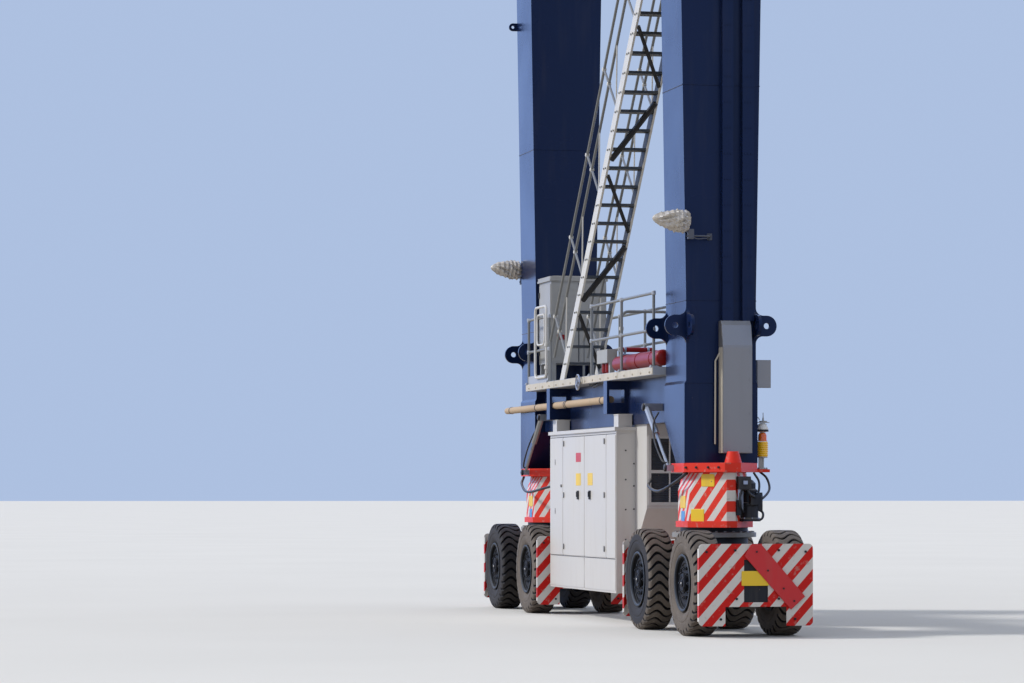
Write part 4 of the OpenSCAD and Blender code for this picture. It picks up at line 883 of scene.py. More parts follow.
# The stair. Flat stringers in white paint carry folded steel treads and a tube
# rail on each side. Dark bars zigzag between the stringers underneath, and a
# dark strip of painted shade runs along the inner face of the lane's stringer.
stair_white = weathered("stair_white", (0.56, 0.54, 0.49), (0.66, 0.64, 0.59), rough=0.42,
                        dirt=0.2, grime=(0.26, 0.22, 0.17))
finish_nodes(stair_white, "stair_flight")
finish_nodes(rail_grey, "stair_rails")
SLOPE = math.radians(48.5)
STAIR_X = (SIDE_A - 0.65, SIDE_A - 0.1)
LAND = 8.95
RISE = LAND - DECK
STEPS = 22
STAIR_FOOT = 1.3


def stair_place(t, h=0.0):
    """Place along the travel and height of a point that is a way t up the stringers, from their
    lower end, and h square off them."""
    return (STAIR_FOOT + 0.267 - t * math.cos(SLOPE) + h * math.sin(SLOPE),
            DECK + t * math.sin(SLOPE) + h * math.cos(SLOPE))


tread_at = [(STAIR_FOOT + 0.1335 - RISE * i / STEPS / math.tan(SLOPE), DECK + RISE * i / STEPS)
            for i in range(1, STEPS)]
middle = sum(STAIR_X) / 2
nosings = raised([(middle, y + 0.1, z + 0.002, 0, 0, 1, 0.48, 0.03, 0.005) for y, z in tread_at]
                 + [(middle + u, y + v, z + 0.002, 0, 0, 1, 0.05, 0.012, 0.004) for y, z in tread_at
                    for u in (-0.18, -0.06, 0.06, 0.18) for v in (-0.07, -0.02, 0.04)],
                 0.5, 8)
treads = plated([(middle, y, z - 0.033, 0, 0, 1, 0.486, 0.236, 0.036) for y, z in tread_at])
tread_steel = weathered("tread_steel", (0.03, 0.034, 0.035), (0.06, 0.065, 0.065), rough=0.5,
                        metallic=0.3)
put_mesh("tread_sheets", *treads, tread_steel, "crane", "galvanised_steel")
ends = bolted([(STAIR_X[k], y + v, z - 0.02, s, 0, 0, 0.03, 0.03, 0.014) for y, z in tread_at
               for k, s in ((0, -1), (1, 1)) for v in (-0.05, 0.05)])
put_mesh("tread_nosings", *joined(nosings, ends), rail_grey, "crane", "galvanised_steel")
BRACE_PITCH, BRACE_UNDER = 1.268, -0.2
braces = []
for i in range(5):
    low, high = (stair_place(t + BRACE_PITCH * i, BRACE_UNDER) for t in (0.41, 1.4))
    start, end = (STAIR_X[0] + 0.04, STAIR_X[1] - 0.04)[::1 if i % 2 else -1]
    braces.append(pipe([(start, *low), (end, *high)], 0.042 if i % 2 else 0.03, 6))
# A thin dark sheet along the inner face of the lane's stringer: painted shade.
SHADE_STRIP_X = STAIR_X[1] - 0.03
braces.append(sheet([(SHADE_STRIP_X, *stair_place(t, h)) for t, h in (
    (0.3, -0.185), (6.85, -0.185), (6.85, -0.015), (0.3, -0.015))], (-0.004, 0, 0)))
put_mesh("stair_braces_and_shade_strip", *joined(*braces), chassis_black, "crane", "galvanised_steel")
KNOT = ((0.02, 0), (0.03, 0.006), (0.03, 0.054), (0.02, 0.06))
rail_braces = []
for x in (STAIR_X[0] + 0.015, STAIR_X[1] - 0.015):
    for t in (0.55, 2.05, 3.55, 5.05):
        low, high = stair_place(t, 0.03), stair_place(t + 0.62, 0.53)
        rail_braces.append(pipe([(x, *low), (x, *high)], 0.011, 6))
    knots = [stair_place(t, h) for t in (0.5, 2.0, 3.5, 5.0, 6.5) for h in (0.54, 0.9)]
    rail_braces.append(turned([(x - 0.03, *k) for k in knots], (1, 0, 0), KNOT, 10))
put_mesh("stair_rail_braces", *joined(*rail_braces), stair_white, "crane", "galvanised_steel")

# The landing and the ladder. The landing is floored with chequer plate, and the
# ladder's stiles are bolted to their brackets.
grid_x, grid_y = np.meshgrid(np.arange(-0.66, 0.75, 0.11), np.arange(-3.78, -3.25, 0.11))
bay_x, bay_y = np.meshgrid(np.arange(0.12, 0.75, 0.11), np.arange(-3.2, -2.88, 0.11))
studs_at = list(zip(grid_x.ravel(), grid_y.ravel())) + list(zip(bay_x.ravel(), bay_y.ravel()))
cage_brackets = np.arange(9.85, 22.1, 2.7)
landing = joined(
    chequered(studs_at, LAND, len(studs_at)),
    plated([(SIDE_A - 0.715, -3.5, LAND + 0.05, *OUT, 0.6, 0.12, 0.005),
            (SIDE_A + 0.785, -3.33, LAND + 0.05, 1, 0, 0, 0.95, 0.12, 0.005)]),
    raised([(SIDE_A + 0.335 + s * 0.236, -3.75, z + 0.03, s, 0, 0, 0.1, 0.05, 0.01)
            for s in (-1, 1) for z in cage_brackets]),
    bolted([(SIDE_A + 0.335 + s * 0.245, -3.72 - d, z + 0.03, s, 0, 0, 0.02, 0.02, 0.012)
            for s in (-1, 1) for d in (0.0, 0.05) for z in cage_brackets]))
put_mesh("landing_details", *landing, galvanised, "crane", "galvanised_steel")

# The legs' fittings. Weld beads run round each leg, hatches are bolted on its
# lane face, and the cable ducts of two legs are screwed down every 0.34 m,
# under a cover of brushed sheet. The cream sheet and rod on the cover's outer
# edge are a painted sunlit side.


def leg_half(z):
    """Half width of a leg across the lane at a height."""
    return 0.503 if z < 3.31 else 0.48 + 0.27 * max(0.0, z - 4.4) / 16.2


LEG_Y, LEG_FRONT, LEG_REAR = -4.33, -4.83, -3.828
beads = []
for z in (3.31, 4.4, 7.25, 12.0, 16.4, 20.42):
    w = leg_half(z) + 0.002
    beads.append(pipe([(SIDE_A + u, v, z) for u, v in (
        (-w, LEG_FRONT), (w, LEG_FRONT), (w, LEG_REAR), (-w, LEG_REAR), (-w, LEG_FRONT - 0.002),
        (0, LEG_FRONT - 0.002))], 0.007, 6))
hatches, hatch_bolts = [], []
tilt = -0.27 / 16.2
for z in (5.2, 11.0, 17.5):
    x = SIDE_A + leg_half(z)
    hatches.append((x, LEG_Y, z, 1, 0, tilt, 0.45, 0.6, 0.014))
    hatch_bolts += [(x + 0.014, LEG_Y + 0.19 * math.cos(a), z + 0.26 * math.sin(a), 1, 0, tilt,
                     0.03, 0.03, 0.014) for a in np.linspace(0, 2 * np.pi, 14, endpoint=False)]
HEAD_Z = 20.575
flanges = plated([(SIDE_A, v, HEAD_Z, 0, 0, 1, 1.62, 0.1, 0.024) for v in (-4.85, -3.81)]
                 + [(SIDE_A + s * 0.79, LEG_Y, HEAD_Z, 0, 0, 1, 0.1, 1.1, 0.024) for s in (-1, 1)])
joint_bolts = bolted([(SIDE_A + u, v, HEAD_Z, 0, 0, -1, 0.04, 0.04, 0.03)
                      for u in np.linspace(-0.72, 0.72, 10) for v in (-4.87, -3.79)])
put_mesh("leg_fittings", *on_corners(joined(*beads, raised(hatches, 0.5), bolted(hatch_bolts),
                                            flanges, joint_bolts)), navy, "crane", "navy_paint")


def on_duct_legs(shape):
    """A shape drawn at the front leg of side A, there and at the rear leg of side B, the two
    that carry the cable ducts."""
    return joined(shape, mirrored(shape, -1, -1))


duct_rows = np.arange(4.3, 20.3, 0.34)
screws = bolted([(SIDE_A + u, -4.92, z, *FRONT, 0.024, 0.024, 0.008) for z in duct_rows
                 for u in (0.03, 0.068, 0.106, 0.31, 0.35, 0.39)])
straps = plated([(SIDE_A + u, -4.92, z, *FRONT, w, 0.05, 0.006) for z in (7.25, 10.4, 13.6, 16.8)
                 for u, w in ((0.068, 0.16), (0.35, 0.172))])
ducts = joined(screws, straps)
put_mesh("duct_screws", *on_duct_legs(ducts), navy, "crane", "navy_paint")
stainless = weathered("brushed_stainless", (0.21, 0.2, 0.185), (0.28, 0.265, 0.245),
                      metallic=0.35, dirt=0.1, grime=(0.12, 0.1, 0.09), chips=0.85)
finish_nodes(stainless, "duct_cover")
cover = joined(
    raised([(SIDE_A + 0.167, -5.03, 3.085, *FRONT, 0.385, 1.4, 0.005),
            (SIDE_A + 0.598, -4.81, 3.435, *FRONT, 0.18, 0.35, 0.006)], 0.05, 16, 0.99),
    bolted([(SIDE_A + u, -5.035, z, *FRONT, 0.018, 0.018, 0.006) for u in (0.0, 0.335)
            for z in (2.45, 2.9, 3.35, 3.72)]))
put_mesh("cover_sheets", *on_duct_legs(cover), stainless, "crane", "stainless_sheet")
# A cream sheet and rod on the cover's outer side: painted sunlight on that side.
painted_lit_edge = joined(
    raised([(SIDE_A - 0.034, -4.93, 3.08, *OUT, 0.17, 1.4, 0.004)], 0.05),
    pipe([(SIDE_A - 0.02, -4.86, 3.72), (SIDE_A - 0.09, -4.87, 3.6), (SIDE_A - 0.095, -4.87, 2.5)],
         0.012))
put_mesh("cover_painted_lit_edges", *on_duct_legs(painted_lit_edge), edge_cream, "crane", "stainless_sheet")

# The foot struts. Chromed rods in galvanised tubes from the sill beams down to
# the turrets, on dark pins, with a hose at the lower end.
strut_bright = weathered("strut_bright", (0.3, 0.31, 0.32), (0.4, 0.41, 0.42), metallic=0.6,
                         dirt=0.2)
finish_nodes(strut_bright, "foot_struts")
STRUT_X = SIDE_A - 0.56
strut_pins = joined(
    turned([(STRUT_X - 0.04, -3.13, 3.03), (STRUT_X - 0.04, -4.26, 2.19)], OUT,
           ((0.05, 0), (0.05, 0.02), (0.035, 0.03), (0.02, 0.032)), 16),
    pipe(smooth_path([(STRUT_X, -4.2, 2.25), (STRUT_X - 0.06, -4.12, 2.3),
                      (STRUT_X - 0.07, -3.8, 2.55), (STRUT_X - 0.02, -3.55, 2.8),
                      (STRUT_X + 0.08, -3.45, 2.95)]), 0.012))
put_mesh("strut_pins", *on_corners(strut_pins), gear_black, "crane", "grey_paint")

# The sill pole. A spare pole in tan wrapping tape, wound in turns and tied with
# black bands, lies in the brackets of side A.
POLE_X, POLE_Z = SIDE_A - 0.558, 3.1903
wrapped = weathered("tan_wrapping", (0.42, 0.3, 0.19), (0.52, 0.39, 0.26), rough=0.7, dirt=0.3)
finish_nodes(wrapped, "sill_pole")
turns = hoops([(POLE_X, y, POLE_Z) for y in np.arange(-1.1, 5.5, 0.11)], (0, 1, 0),
              ((0.05, 0), (0.0535, 0.01), (0.052, 0.1), (0.05, 0.104), (0.048, 0.05)), 16)
put_mesh("pole_wrapping", *turns, wrapped, "crane", "wrapped_pole")
ties = hoops([(POLE_X, y, POLE_Z) for y in (-0.7, 1.4, 1.5, 3.4, 5.2)], (0, 1, 0),
             ((0.052, 0), (0.058, 0.002), (0.058, 0.028), (0.052, 0.03), (0.05, 0.015)), 16)
put_mesh("pole_ties", *ties, black_seal_and_gap_shade, "crane", "wrapped_pole")

# The floodlights. Each hangs on a bracket off its leg's outer face, still in the
# crumpled film and tape that it was delivered in.
# The film's blue-grey streaks, given as grime, are painted shade.
lamp_wrap = weathered("lamp_wrap", (0.42, 0.36, 0.28), (0.6, 0.58, 0.55), rough=0.25,
                      grime=(0.16, 0.19, 0.27), dirt=0.75)
lamp_steel = weathered("lamp_steel", (0.05, 0.055, 0.068), (0.08, 0.085, 0.1), rough=0.45)
rng = np.random.default_rng(7)


def crumpled(place, way, profile, sides, depth):
    """A lathe shape in loose film. Its radius is varied by the mean of eight sines of the angle
    and the height, each folded by an absolute value so that it makes sharp creases."""
    points, faces = turned([place], way, profile, sides)
    angle = np.arange(sides)[None] * 2 * np.pi / sides
    along = np.arange(len(profile))[:, None] / len(profile)
    fold = sum(np.abs(np.sin(rng.integers(1, 7) * angle + rng.uniform(3, 16) * along
                             + rng.uniform(0, 6.28))) for _ in range(8)) / 8 - 0.6
    axis = np.asarray(place) + np.asarray(profile)[:, None, 1:] * np.asarray(way, float)
    return axis + (points[0] - axis) * (1 + depth * fold[..., None]), faces


BAG = [(0.012, 0.0), (0.035, 0.02), (0.055, 0.05), (0.065, 0.08), (0.085, 0.11), (0.09, 0.15),
       (0.115, 0.19), (0.11, 0.22), (0.13, 0.26), (0.12, 0.29), (0.14, 0.32), (0.13, 0.35),
       (0.145, 0.38), (0.13, 0.41), (0.145, 0.44), (0.12, 0.47), (0.1, 0.5), (0.05, 0.51)]
bag = joined(crumpled((SIDE_A - 0.97, -4.94, 5.47), (0.99, 0, -0.1), BAG, 40, 0.9),
             crumpled((SIDE_A - 0.56, -4.94, 5.43), (0.55, 0, 0.45),
                      [(0.09, 0), (0.11, 0.05), (0.08, 0.1), (0.03, 0.13)], 18, 0.7),
             crumpled((SIDE_A - 0.6, -4.94, 5.4), (-0.2, 0, -0.8),
                      [(0.09, 0), (0.1, 0.03), (0.06, 0.07), (0.02, 0.09)], 18, 0.7))
put_mesh("wrapped_lamps", *on_corners(bag), lamp_wrap, "crane", "wrapped_lamp")
ARM_X, ARM_Y, ARM_Z = SIDE_A - 0.16, -4.94, 5.24
arm = joined(
    bent_tube([(ARM_X, LEG_FRONT, ARM_Z), (ARM_X, ARM_Y, ARM_Z), (SIDE_A - 0.5, ARM_Y, ARM_Z)],
              0.013, 0.05),
    raised([(ARM_X, LEG_FRONT, ARM_Z, *FRONT, 0.07, 0.09, 0.01)], 0.2),
    bolted([(ARM_X, -4.84, ARM_Z + v, *FRONT, 0.02, 0.02, 0.012) for v in (-0.033, 0.033)]),
    raised([(SIDE_A - 0.45, ARM_Y, 5.2, 0, 0, 1, 0.08, 0.07, 0.13)], 0.15),
    pipe(smooth_path([(SIDE_A - 0.45, -4.97, 5.23), (SIDE_A - 0.36, -4.98, 5.2),
                      (SIDE_A - 0.24, -4.96, 5.21), (SIDE_A - 0.17, -4.85, 5.2)]), 0.007, 6))
arms = put_mesh("lamp_arms", *on_corners(arm), lamp_steel, "crane", "grey_paint")
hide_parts("floodlights")

# The beacons. On each turret's wing a flashing light of two coloured lenses
# stands on a grey bracket, under a white camera dome and a flat aerial.
MAST_X, MAST_Y, MAST_Z = SIDE_A + 0.64, -4.6, 2.17
SOCKET = ((0.03, 0.01), (0.022, 0.02), (0.022, 0.15), (0.07, 0.155), (0.07, 0.172))
AERIAL = ((0.055, 0), (0.055, 0.014), (0.012, 0.02), (0.01, 0.06), (0.006, 0.06), (0.005, 0.125))
bracket = joined(
    raised([(MAST_X, MAST_Y, MAST_Z, 0, 0, 1, 0.12, 0.12, 0.012),
            (MAST_X, MAST_Y, 2.79, 0, 0, 1, 0.17, 0.12, 0.008)]),
    raised([(MAST_X - 0.04, MAST_Y - 0.03, 2.25, *FRONT, 0.05, 0.16, 0.01)]),
    turned([(MAST_X, MAST_Y, MAST_Z)], (0, 0, 1), SOCKET, 20),
    turned([(MAST_X + 0.01, MAST_Y, 2.8)], (0, 0, 1), AERIAL, 14),
    pipe(smooth_path([(MAST_X + u, MAST_Y, z) for u, z in (
        (-0.06, 2.74), (-0.085, 2.82), (-0.06, 2.86), (-0.04, 2.83))]), 0.006, 6),
    bolted([(MAST_X + u, MAST_Y + v, MAST_Z + 0.012, 0, 0, 1, 0.02, 0.02, 0.012)
            for u in (-0.045, 0.045) for v in (-0.045, 0.045)]))
pole = put_mesh("beacon_brackets", *on_corners(bracket), cabinet_grey, "crane", "grey_paint")
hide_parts("beacon_masts")
lens_yellow = weathered("lens_yellow", (0.9, 0.5, 0.006), (0.95, 0.56, 0.01), rough=0.15,
                        dirt=0.05, dust=0.1)
lens_orange = weathered("lens_orange", (0.75, 0.13, 0.008), (0.82, 0.17, 0.01), rough=0.15,
                        dirt=0.05, dust=0.1)
dome_white = weathered("dome_white", (0.7, 0.7, 0.69), (0.76, 0.76, 0.75), rough=0.25, dirt=0.1)
RIBBED_LENS = [(0.07, 0), *[(0.072 + 0.006 * (i % 2), 0.012 + 0.0125 * i) for i in range(15)],
               (0.072, 0.2)]
TOP_LENS = ((0.066, 0), (0.066, 0.01), (0.058, 0.014), (0.056, 0.08), (0.045, 0.108), (0.02, 0.115))
CAMERA_DOME = ((0.035, 0), (0.05, 0.008), (0.078, 0.012), (0.08, 0.05), (0.072, 0.085),
               (0.055, 0.11), (0.03, 0.125))
DOME_BAND = ((0.079, 0), (0.083, 0.003), (0.083, 0.026), (0.079, 0.029), (0.07, 0.015))
for name, shaped, z, profile, material, slot in (
        ("beacon_yellow_lenses", turned, 2.34, RIBBED_LENS, lens_yellow, "beacon_plastic"),
        ("beacon_orange_lenses", turned, 2.545, TOP_LENS, lens_orange, "beacon_plastic"),
        ("beacon_domes", turned, 2.66, CAMERA_DOME, dome_white, "white_paint"),
        ("beacon_dome_bands", hoops, 2.672, DOME_BAND, gear_black, "grey_paint")):
    stack = shaped([(MAST_X, MAST_Y, z)], (0, 0, 1), profile, 24)
    put_mesh(name, *on_corners(stack), material, "crane", slot)

# The main girders and their ties. Welded box girders with stiffening ribs at
# the ties, bolted splices, and trolley rails clipped down along the top.
GIRDER_LOW, GIRDER_TOP = 20.6, 22.35
SPLICE_X = (-6.3, 6.3)
GIRDER_FACES = ((-4.83, -1), (-3.83, 1))


def on_girders(shape):
    """A shape drawn at the front girder, at both."""
    return joined(shape, mirrored(shape, 1, -1))


seams = []
for x in (-8.4, -4.2, 0.0, 4.2, 8.4):
    seams.append(pipe([(x, -4.833, GIRDER_LOW), (x, -4.833, GIRDER_TOP), (x, -3.827, GIRDER_TOP),
                       (x, -3.827, GIRDER_LOW), (x, -4.833, GIRDER_LOW - 0.002)], 0.007, 6))
splices = plated([(x, y, 21.4, 0, s, 0, 0.5, 1.5, 0.016) for x in SPLICE_X
                  for y, s in GIRDER_FACES])
splice_bolts = bolted([(x + u, y + s * 0.016, z, 0, s, 0, 0.036, 0.036, 0.022)
                       for x in SPLICE_X for y, s in GIRDER_FACES
                       for u in (-0.19, -0.07, 0.07, 0.19) for z in np.arange(20.75, 22.1, 0.16)])
ribs = raised([(x, -3.83, 21.2, 0, 1, 0, 0.02, 1.0, 0.14) for x in (-12.45, -12.05, 12.05, 12.45)])
tie_plates = plated([(s * 12.25, -3.815, 21.75, 0, 1, 0, 0.62, 0.92, 0.02) for s in (-1, 1)])
girder = joined(*seams, splices, splice_bolts, ribs, tie_plates)
put_mesh("girder_seams_and_splices", *on_girders(girder), navy, "crane", "navy_paint")
rail_steel = weathered("rail_steel", (0.2, 0.19, 0.18), (0.3, 0.29, 0.28), metallic=0.7)
finish_nodes(rail_steel, "trolley_rails")
RAIL_Y = -4.0
clip_x = np.arange(-12.3, 12.4, 0.75)
clips = joined(raised([(x, RAIL_Y + s * 0.07, GIRDER_TOP, 0, 0, 1, 0.09, 0.07, 0.035)
                       for x in clip_x for s in (-1, 1)]),
               bolted([(x, RAIL_Y + s * 0.085, GIRDER_TOP + 0.035, 0, 0, 1, 0.03, 0.03, 0.03)
                       for x in clip_x for s in (-1, 1)]),
               raised([(s * 12.45, RAIL_Y, GIRDER_TOP, 0, 0, 1, 0.16, 0.2, 0.32) for s in (-1, 1)],
                      0.2))
put_mesh("rail_clips", *on_girders(clips), rail_steel, "crane", "rail_steel")
WALK_Z = 21.9
walk = joined(
    plated([(x, -5.18, WALK_Z, 0, 0, 1, 0.012, 0.66, 0.012) for x in np.arange(-12.55, 12.6, 0.1)]),
    plated([(0, -5.52, 21.95, 0, -1, 0, 25.1, 0.12, 0.005)]),
    turned([(x, -5.505, WALK_Z + h) for x in np.linspace(-12.575, 12.575, 13)
            for h in RAIL_HEIGHTS], (0, 0, 1), COLLAR, 10))
put_mesh("walkway_gratings", *on_girders(walk), galvanised, "crane", "galvanised_steel")

# The trolley. A navy frame of box beams on four flanged wheels, driven by two
# geared motors, with buffers at its ends and bearers for the cab.
TX = -5.0
finish_nodes(navy, "trolley_frame")
finish_nodes(cabinet_white, "hoist_house", "operator_cab")
WHEEL_OUT = ((0.28, 0), (0.285, 0.008), (0.28, 0.022), (0.252, 0.026))
WHEEL_IN = ((0.252, -0.004), (0.28, 0), (0.285, 0.012), (0.28, 0.022), (0.1, 0.024), (0.09, 0.05),
            (0.04, 0.055))
MOTOR = [(0.13, 0), (0.15, 0.02), (0.15, 0.05),
         *[(0.12 + 0.016 * (i % 2), 0.06 + 0.02 * i) for i in range(16)],
         (0.13, 0.4), (0.12, 0.46), (0.06, 0.48)]
BUFFER = ((0.1, 0), (0.1, 0.05), (0.07, 0.06), (0.09, 0.1), (0.07, 0.14), (0.09, 0.18), (0.04, 0.2))
BEAM_FACE = -4.2
wheels, drives, frame_parts = [], [], []
for x in (TX - 2.4, TX + 2.4):
    wheels += [turned([(x, -4.06, 22.7)], FRONT, WHEEL_OUT, 40),
               turned([(x, -3.94, 22.7)], (0, 1, 0), WHEEL_IN, 40)]
    drives += [raised([(x, BEAM_FACE, 22.72, *FRONT, 0.36, 0.3, 0.04)], 0.4),
               bolted([(x + 0.13 * math.cos(a), -4.24, 22.72 + 0.1 * math.sin(a), *FRONT,
                        0.035, 0.035, 0.02) for a in np.linspace(0, 2 * np.pi, 8, endpoint=False)])]
    frame_parts.append(plated([(x, BEAM_FACE, 23.05, *FRONT, 0.5, 0.3, 0.012)]))
drives.append(turned([(TX - 2.4, -4.24, 22.9)], FRONT, MOTOR, 24))
drives += [turned([(TX + s * 2.8, RAIL_Y, 23.0)], (s, 0, 0), BUFFER, 20) for s in (1, -1)]
stiffeners = raised([(x, BEAM_FACE, 23.0, *FRONT, 0.02, 0.56, 0.05)
                     for x in TX + np.arange(-1.9, 2.0, 0.62)])
put_mesh("trolley_drives", *on_girders(joined(*drives)), gear_black, "crane", "grey_paint")
put_mesh("trolley_wheel_flanges", *on_girders(joined(*wheels)), steel_bright, "crane",
         "rail_steel")
put_mesh("trolley_stiffeners", *on_girders(joined(*frame_parts, stiffeners)), navy, "crane",
         "navy_paint")

# The machinery house. White ribbed sheet on the trolley, with a pitched roof,
# louvred openings, windows and a door, over the hoist's winches.
ribs = [(TX - 2.1 + 0.3 * i, s * 2.3, 24.3, 0, s, 0, 0.05, 1.94, 0.018)
        for i in range(15) for s in (-1, 1)]
ribs += [(TX + s * 2.2, -2.1 + 0.3 * i, 24.3, s, 0, 0, 0.05, 1.9, 0.018)
         for i in range(15) for s in (-1, 1) if not (s == 1 and i in (10, 11, 12))]
frames = [(TX + u, s * 2.318, 24.5, 0, s, 0, 0.9, 0.7, 0.02) for s in (-1, 1)
          for u in (-1.2, 0.9)]
frames += [(TX + 2.2, 1.2, 24.2, 1, 0, 0, 0.8, 1.75, 0.025),
           (TX - 2.218, 0.0, 24.5, -1, 0, 0, 1.3, 0.8, 0.02)]
roof = [(TX + 0.3 * i - 2.1, s * 1.16, 25.43, 0, s * 0.108, 0.994, 0.04, 2.3, 0.02)
        for i in range(15) for s in (-1, 1)]
put_mesh("house_ribs_and_frames", *plated(ribs + frames + roof), cabinet_white, "crane",
         "white_paint")
slats = [(TX + u, s * 2.338, z, 0, s, 0.5, 0.78, 0.03, 0.006) for u in (-1.2, 0.9) for s in (-1, 1)
         for z in np.arange(24.21, 24.81, 0.045)]
slats += [(TX - 2.238, 0.0, z, -1, 0, 0.5, 1.18, 0.03, 0.006)
          for z in np.arange(24.16, 24.86, 0.045)]
slats += [(TX + 2.225, 1.48, 24.2, 1, 0, 0, 0.04, 0.16, 0.03)]
put_mesh("house_louvres", *plated(slats), black_seal_and_gap_shade, "crane", "white_paint")

# The operator's cab. A white sheet cabin hung under the trolley, glazed on all
# four sides in dark rubber, with a door, a sun visor, wipers and grab rails.
glass, tree, shader, place = material_start("cab_glass")
tree.links.new(blended(tree, cloud(tree, place, 0.6), (0.02, 0.03, 0.035), (0.045, 0.06, 0.07)),
               shader.inputs["Base Color"])
shader.inputs["Roughness"].default_value = 0.06
shader.inputs["Metallic"].default_value = 0.35
PANE_HEIGHT, BAR_HEIGHT = 1.28, 1.3
CAB_Y, WINDOW_Z = -2.45, 20.5
WINDOW_EDGES = (19.87, 21.13)
panes, bars = [], []
for y, s in ((-3.475, -1), (-1.425, 1)):
    panes += [(TX + x, y, WINDOW_Z, 0, s, 0, w, PANE_HEIGHT, 0.01)
              for x, w in ((2.72, 0.68), (3.5, 0.74))]
    bars += [(TX + x, y, WINDOW_Z, 0, s, 0, 0.06, BAR_HEIGHT, 0.022) for x in (2.37, 3.1, 3.88)]
    bars += [(TX + 3.12, y, z, 0, s, 0, 1.55, 0.05, 0.022) for z in WINDOW_EDGES]
for x, s, w in ((2.225, -1, 1.78), (4.175, 1, 1.08)):
    panes += [(TX + x, CAB_Y, WINDOW_Z, s, 0, 0, w, PANE_HEIGHT, 0.01)]
    bars += [(TX + x, CAB_Y + v * w / 2, WINDOW_Z, s, 0, 0, 0.05, BAR_HEIGHT, 0.022)
             for v in (-1, 0, 1)]
    bars += [(TX + x, CAB_Y, z, s, 0, 0, w, 0.05, 0.022) for z in WINDOW_EDGES]
wipers = raised([(TX + 2.205, y, 20.3, -1, 0, 0, 0.02, 0.7, 0.012, 0.5) for y in (-2.8, -2.1)])
put_mesh("cab_panes", *raised(panes, 0.08, 16), glass, "crane", "white_paint")
put_mesh("cab_window_bars", *joined(plated(bars), wipers), black_seal_and_gap_shade, "crane",
         "white_paint")
front_rails = [bent_tube([(TX + 2.4, -3.5, z), (TX + 2.4, -3.57, z), (TX + 3.9, -3.57, z),
                          (TX + 3.9, -3.5, z)], 0.016, 0.04) for z in (19.75, 21.27)]
grab_rails = [bent_tube([(TX + 4.2, y, 19.5), (TX + 4.27, y, 19.5), (TX + 4.27, y, 20.6),
                         (TX + 4.2, y, 20.6)], 0.016, 0.04) for y in (-1.75, -3.15)]
cab_metal = joined(
    *front_rails, *grab_rails,
    raised([(TX + 3.2, y, 21.4, 0, 0, 1, 1.7, 0.05, 0.03) for y in (-3.4, -1.5)]),
    plated([(TX + 2.17, CAB_Y, 21.28, -1, 0, -0.6, 1.9, 0.24, 0.012)]))
put_mesh("cab_rails_and_visor", *cab_metal, gate_white, "crane", "white_paint")

# The spreader. A yellow telescopic frame under a headblock, with corner guides,
# twistlocks, hydraulic hoses and a grooved sheave in each rope box.
hoist_yellow = weathered("hoist_yellow", (0.62, 0.3, 0.015), (0.7, 0.36, 0.02), dirt=0.3)
finish_nodes(hoist_yellow, "spreader")
SZ = 16.8
BOTH = (-1, 1)
yellow = joined(
    raised([(TX + s * 1.17, e * 2.98, SZ + 0.2, s, e, 0, 0.16, 0.5, 0.03)
            for s in BOTH for e in BOTH]),
    raised([(TX + s * 0.33, y, SZ + 0.22, s, 0, 0, 0.03, 0.4, 0.06) for s in BOTH
            for y in np.arange(-2.4, 2.5, 0.6)]),
    raised([(TX, e * 3.029, SZ + 0.2, 0, e, 0, 1.5, 0.24, 0.012) for e in BOTH], 0.1),
    raised([(TX + s * 0.75, y, SZ + 0.65, s, 0, 0, 0.04, 0.36, 0.04) for s in BOTH
            for y in (-0.9, -0.45, 0.0, 0.45, 0.9)]))
put_mesh("spreader_ribs", *yellow, hoist_yellow, "crane", "yellow_paint")
TWISTLOCK = ((0.03, -0.06), (0.035, 0), (0.052, 0.01), (0.05, 0.035), (0.025, 0.06), (0.01, 0.065))
SHEAVE = ((0.17, 0), (0.175, 0.012), (0.15, 0.02), (0.05, 0.022), (0.05, 0.0))
sheaves_at = [(TX + x + s * 0.05, y, s) for x in (-0.7, 0.7) for y in (-0.9, 0.9) for s in BOTH]
locks = joined(
    *[turned([(TX + s * 1.134, e * 2.944, SZ - 0.16)], (0, 0, -1), TWISTLOCK, 12)
      for s in BOTH for e in BOTH],
    *[hoops([(x, y, SZ + 1.12)], (s, 0, 0), SHEAVE, 28) for x, y, s in sheaves_at],
    bolted([(x, y + v, SZ + 0.9 + h, s, 0, 0, 0.03, 0.03, 0.02) for x, y, s in sheaves_at
            for v in (-0.14, 0.14) for h in (0.05, 0.4)]))
put_mesh("twistlocks_and_sheaves", *locks, steel_bright, "crane", "rail_steel")
LINE_ACROSS = ((-0.9, 0.86), (-0.6, 0.95), (-0.2, 0.88), (0.3, 0.93), (0.9, 0.87))
LINE_ALONG = ((1.0, 0.52), (1.6, 0.5), (2.3, 0.47), (2.9, 0.42))
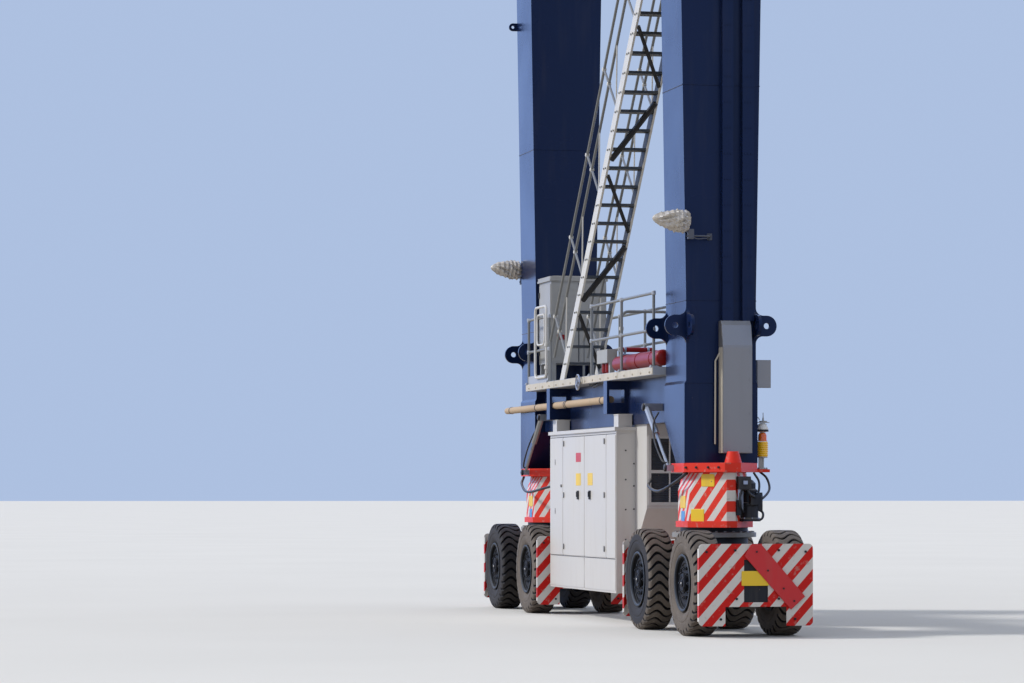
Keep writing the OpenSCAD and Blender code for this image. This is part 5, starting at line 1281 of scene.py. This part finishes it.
lines = joined(
    *[pipe(smooth_path([(TX + u, y, SZ + h) for y, h in LINE_ACROSS]), 0.022)
      for u in (-0.2, -0.12, 0.25)],
    *[pipe(smooth_path([(TX + u, e * y, SZ + h) for y, h in LINE_ALONG]), 0.02)
      for u in (-0.1, 0.1) for e in BOTH],
    raised([(TX + 0.35, 0.35, SZ + 0.85, 0, 0, 1, 0.4, 0.5, 0.22),
            (TX - 0.4, -0.3, SZ + 0.85, 0, 0, 1, 0.3, 0.4, 0.18)], 0.15))
put_mesh("spreader_hoses_and_boxes", *lines, gear_black, "crane", "grey_paint")

# The hoist ropes. Eight falls of steel rope, each laid of six strands, from the
# trolley down to the sheave boxes.
rope_steel = weathered("rope_steel", (0.1, 0.1, 0.1), (0.2, 0.19, 0.18), rough=0.4, metallic=0.6)
finish_nodes(rope_steel, "hoist_ropes")


def laid_rope(low, high, pitch=0.22, strands=6, sides=24, steps=130):
    """A rope of strands. The radius has a bulge for each strand round it, by the cosine of the
    angle times the strands, and the whole pattern turns once in each pitch of the height."""
    z = np.linspace(0, 1, steps)[:, None]
    angle = np.arange(sides)[None] * 2 * np.pi / sides
    lay = 2 * np.pi * z * (high[2] - low[2]) / pitch
    r = 0.0128 + 0.0014 * np.abs(np.cos(strands / 2 * (angle - lay)))
    ring = np.stack([r * np.cos(angle), r * np.sin(angle), np.zeros_like(r)], -1)
    points = np.asarray(low) + ring + z[..., None] * (0, 0, high[2] - low[2])
    return points[None], closed_faces(1, steps, sides)


ROPE_LOW, ROPE_HIGH = 18.15, 22.7
falls_at = [(TX + x, y + d) for x in (-0.7, 0.7) for y in (-0.9, 0.9) for d in (-0.11, 0.11)]
ropes = joined(*[laid_rope((x, y, ROPE_LOW), (x, y, ROPE_HIGH)) for x, y in falls_at])
falls = put_mesh("laid_ropes", *ropes, rope_steel, "crane", "rope_steel", True)
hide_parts("hoist_ropes")
THIMBLE = ((0.03, 0), (0.034, 0.01), (0.03, 0.07), (0.018, 0.08))
thimbles = turned([(x, y, z) for x, y in falls_at for z in (ROPE_LOW, ROPE_HIGH - 0.08)],
                  (0, 0, 1), THIMBLE, 14)
put_mesh("rope_thimbles", *thimbles, steel_bright, "crane", "rail_steel")
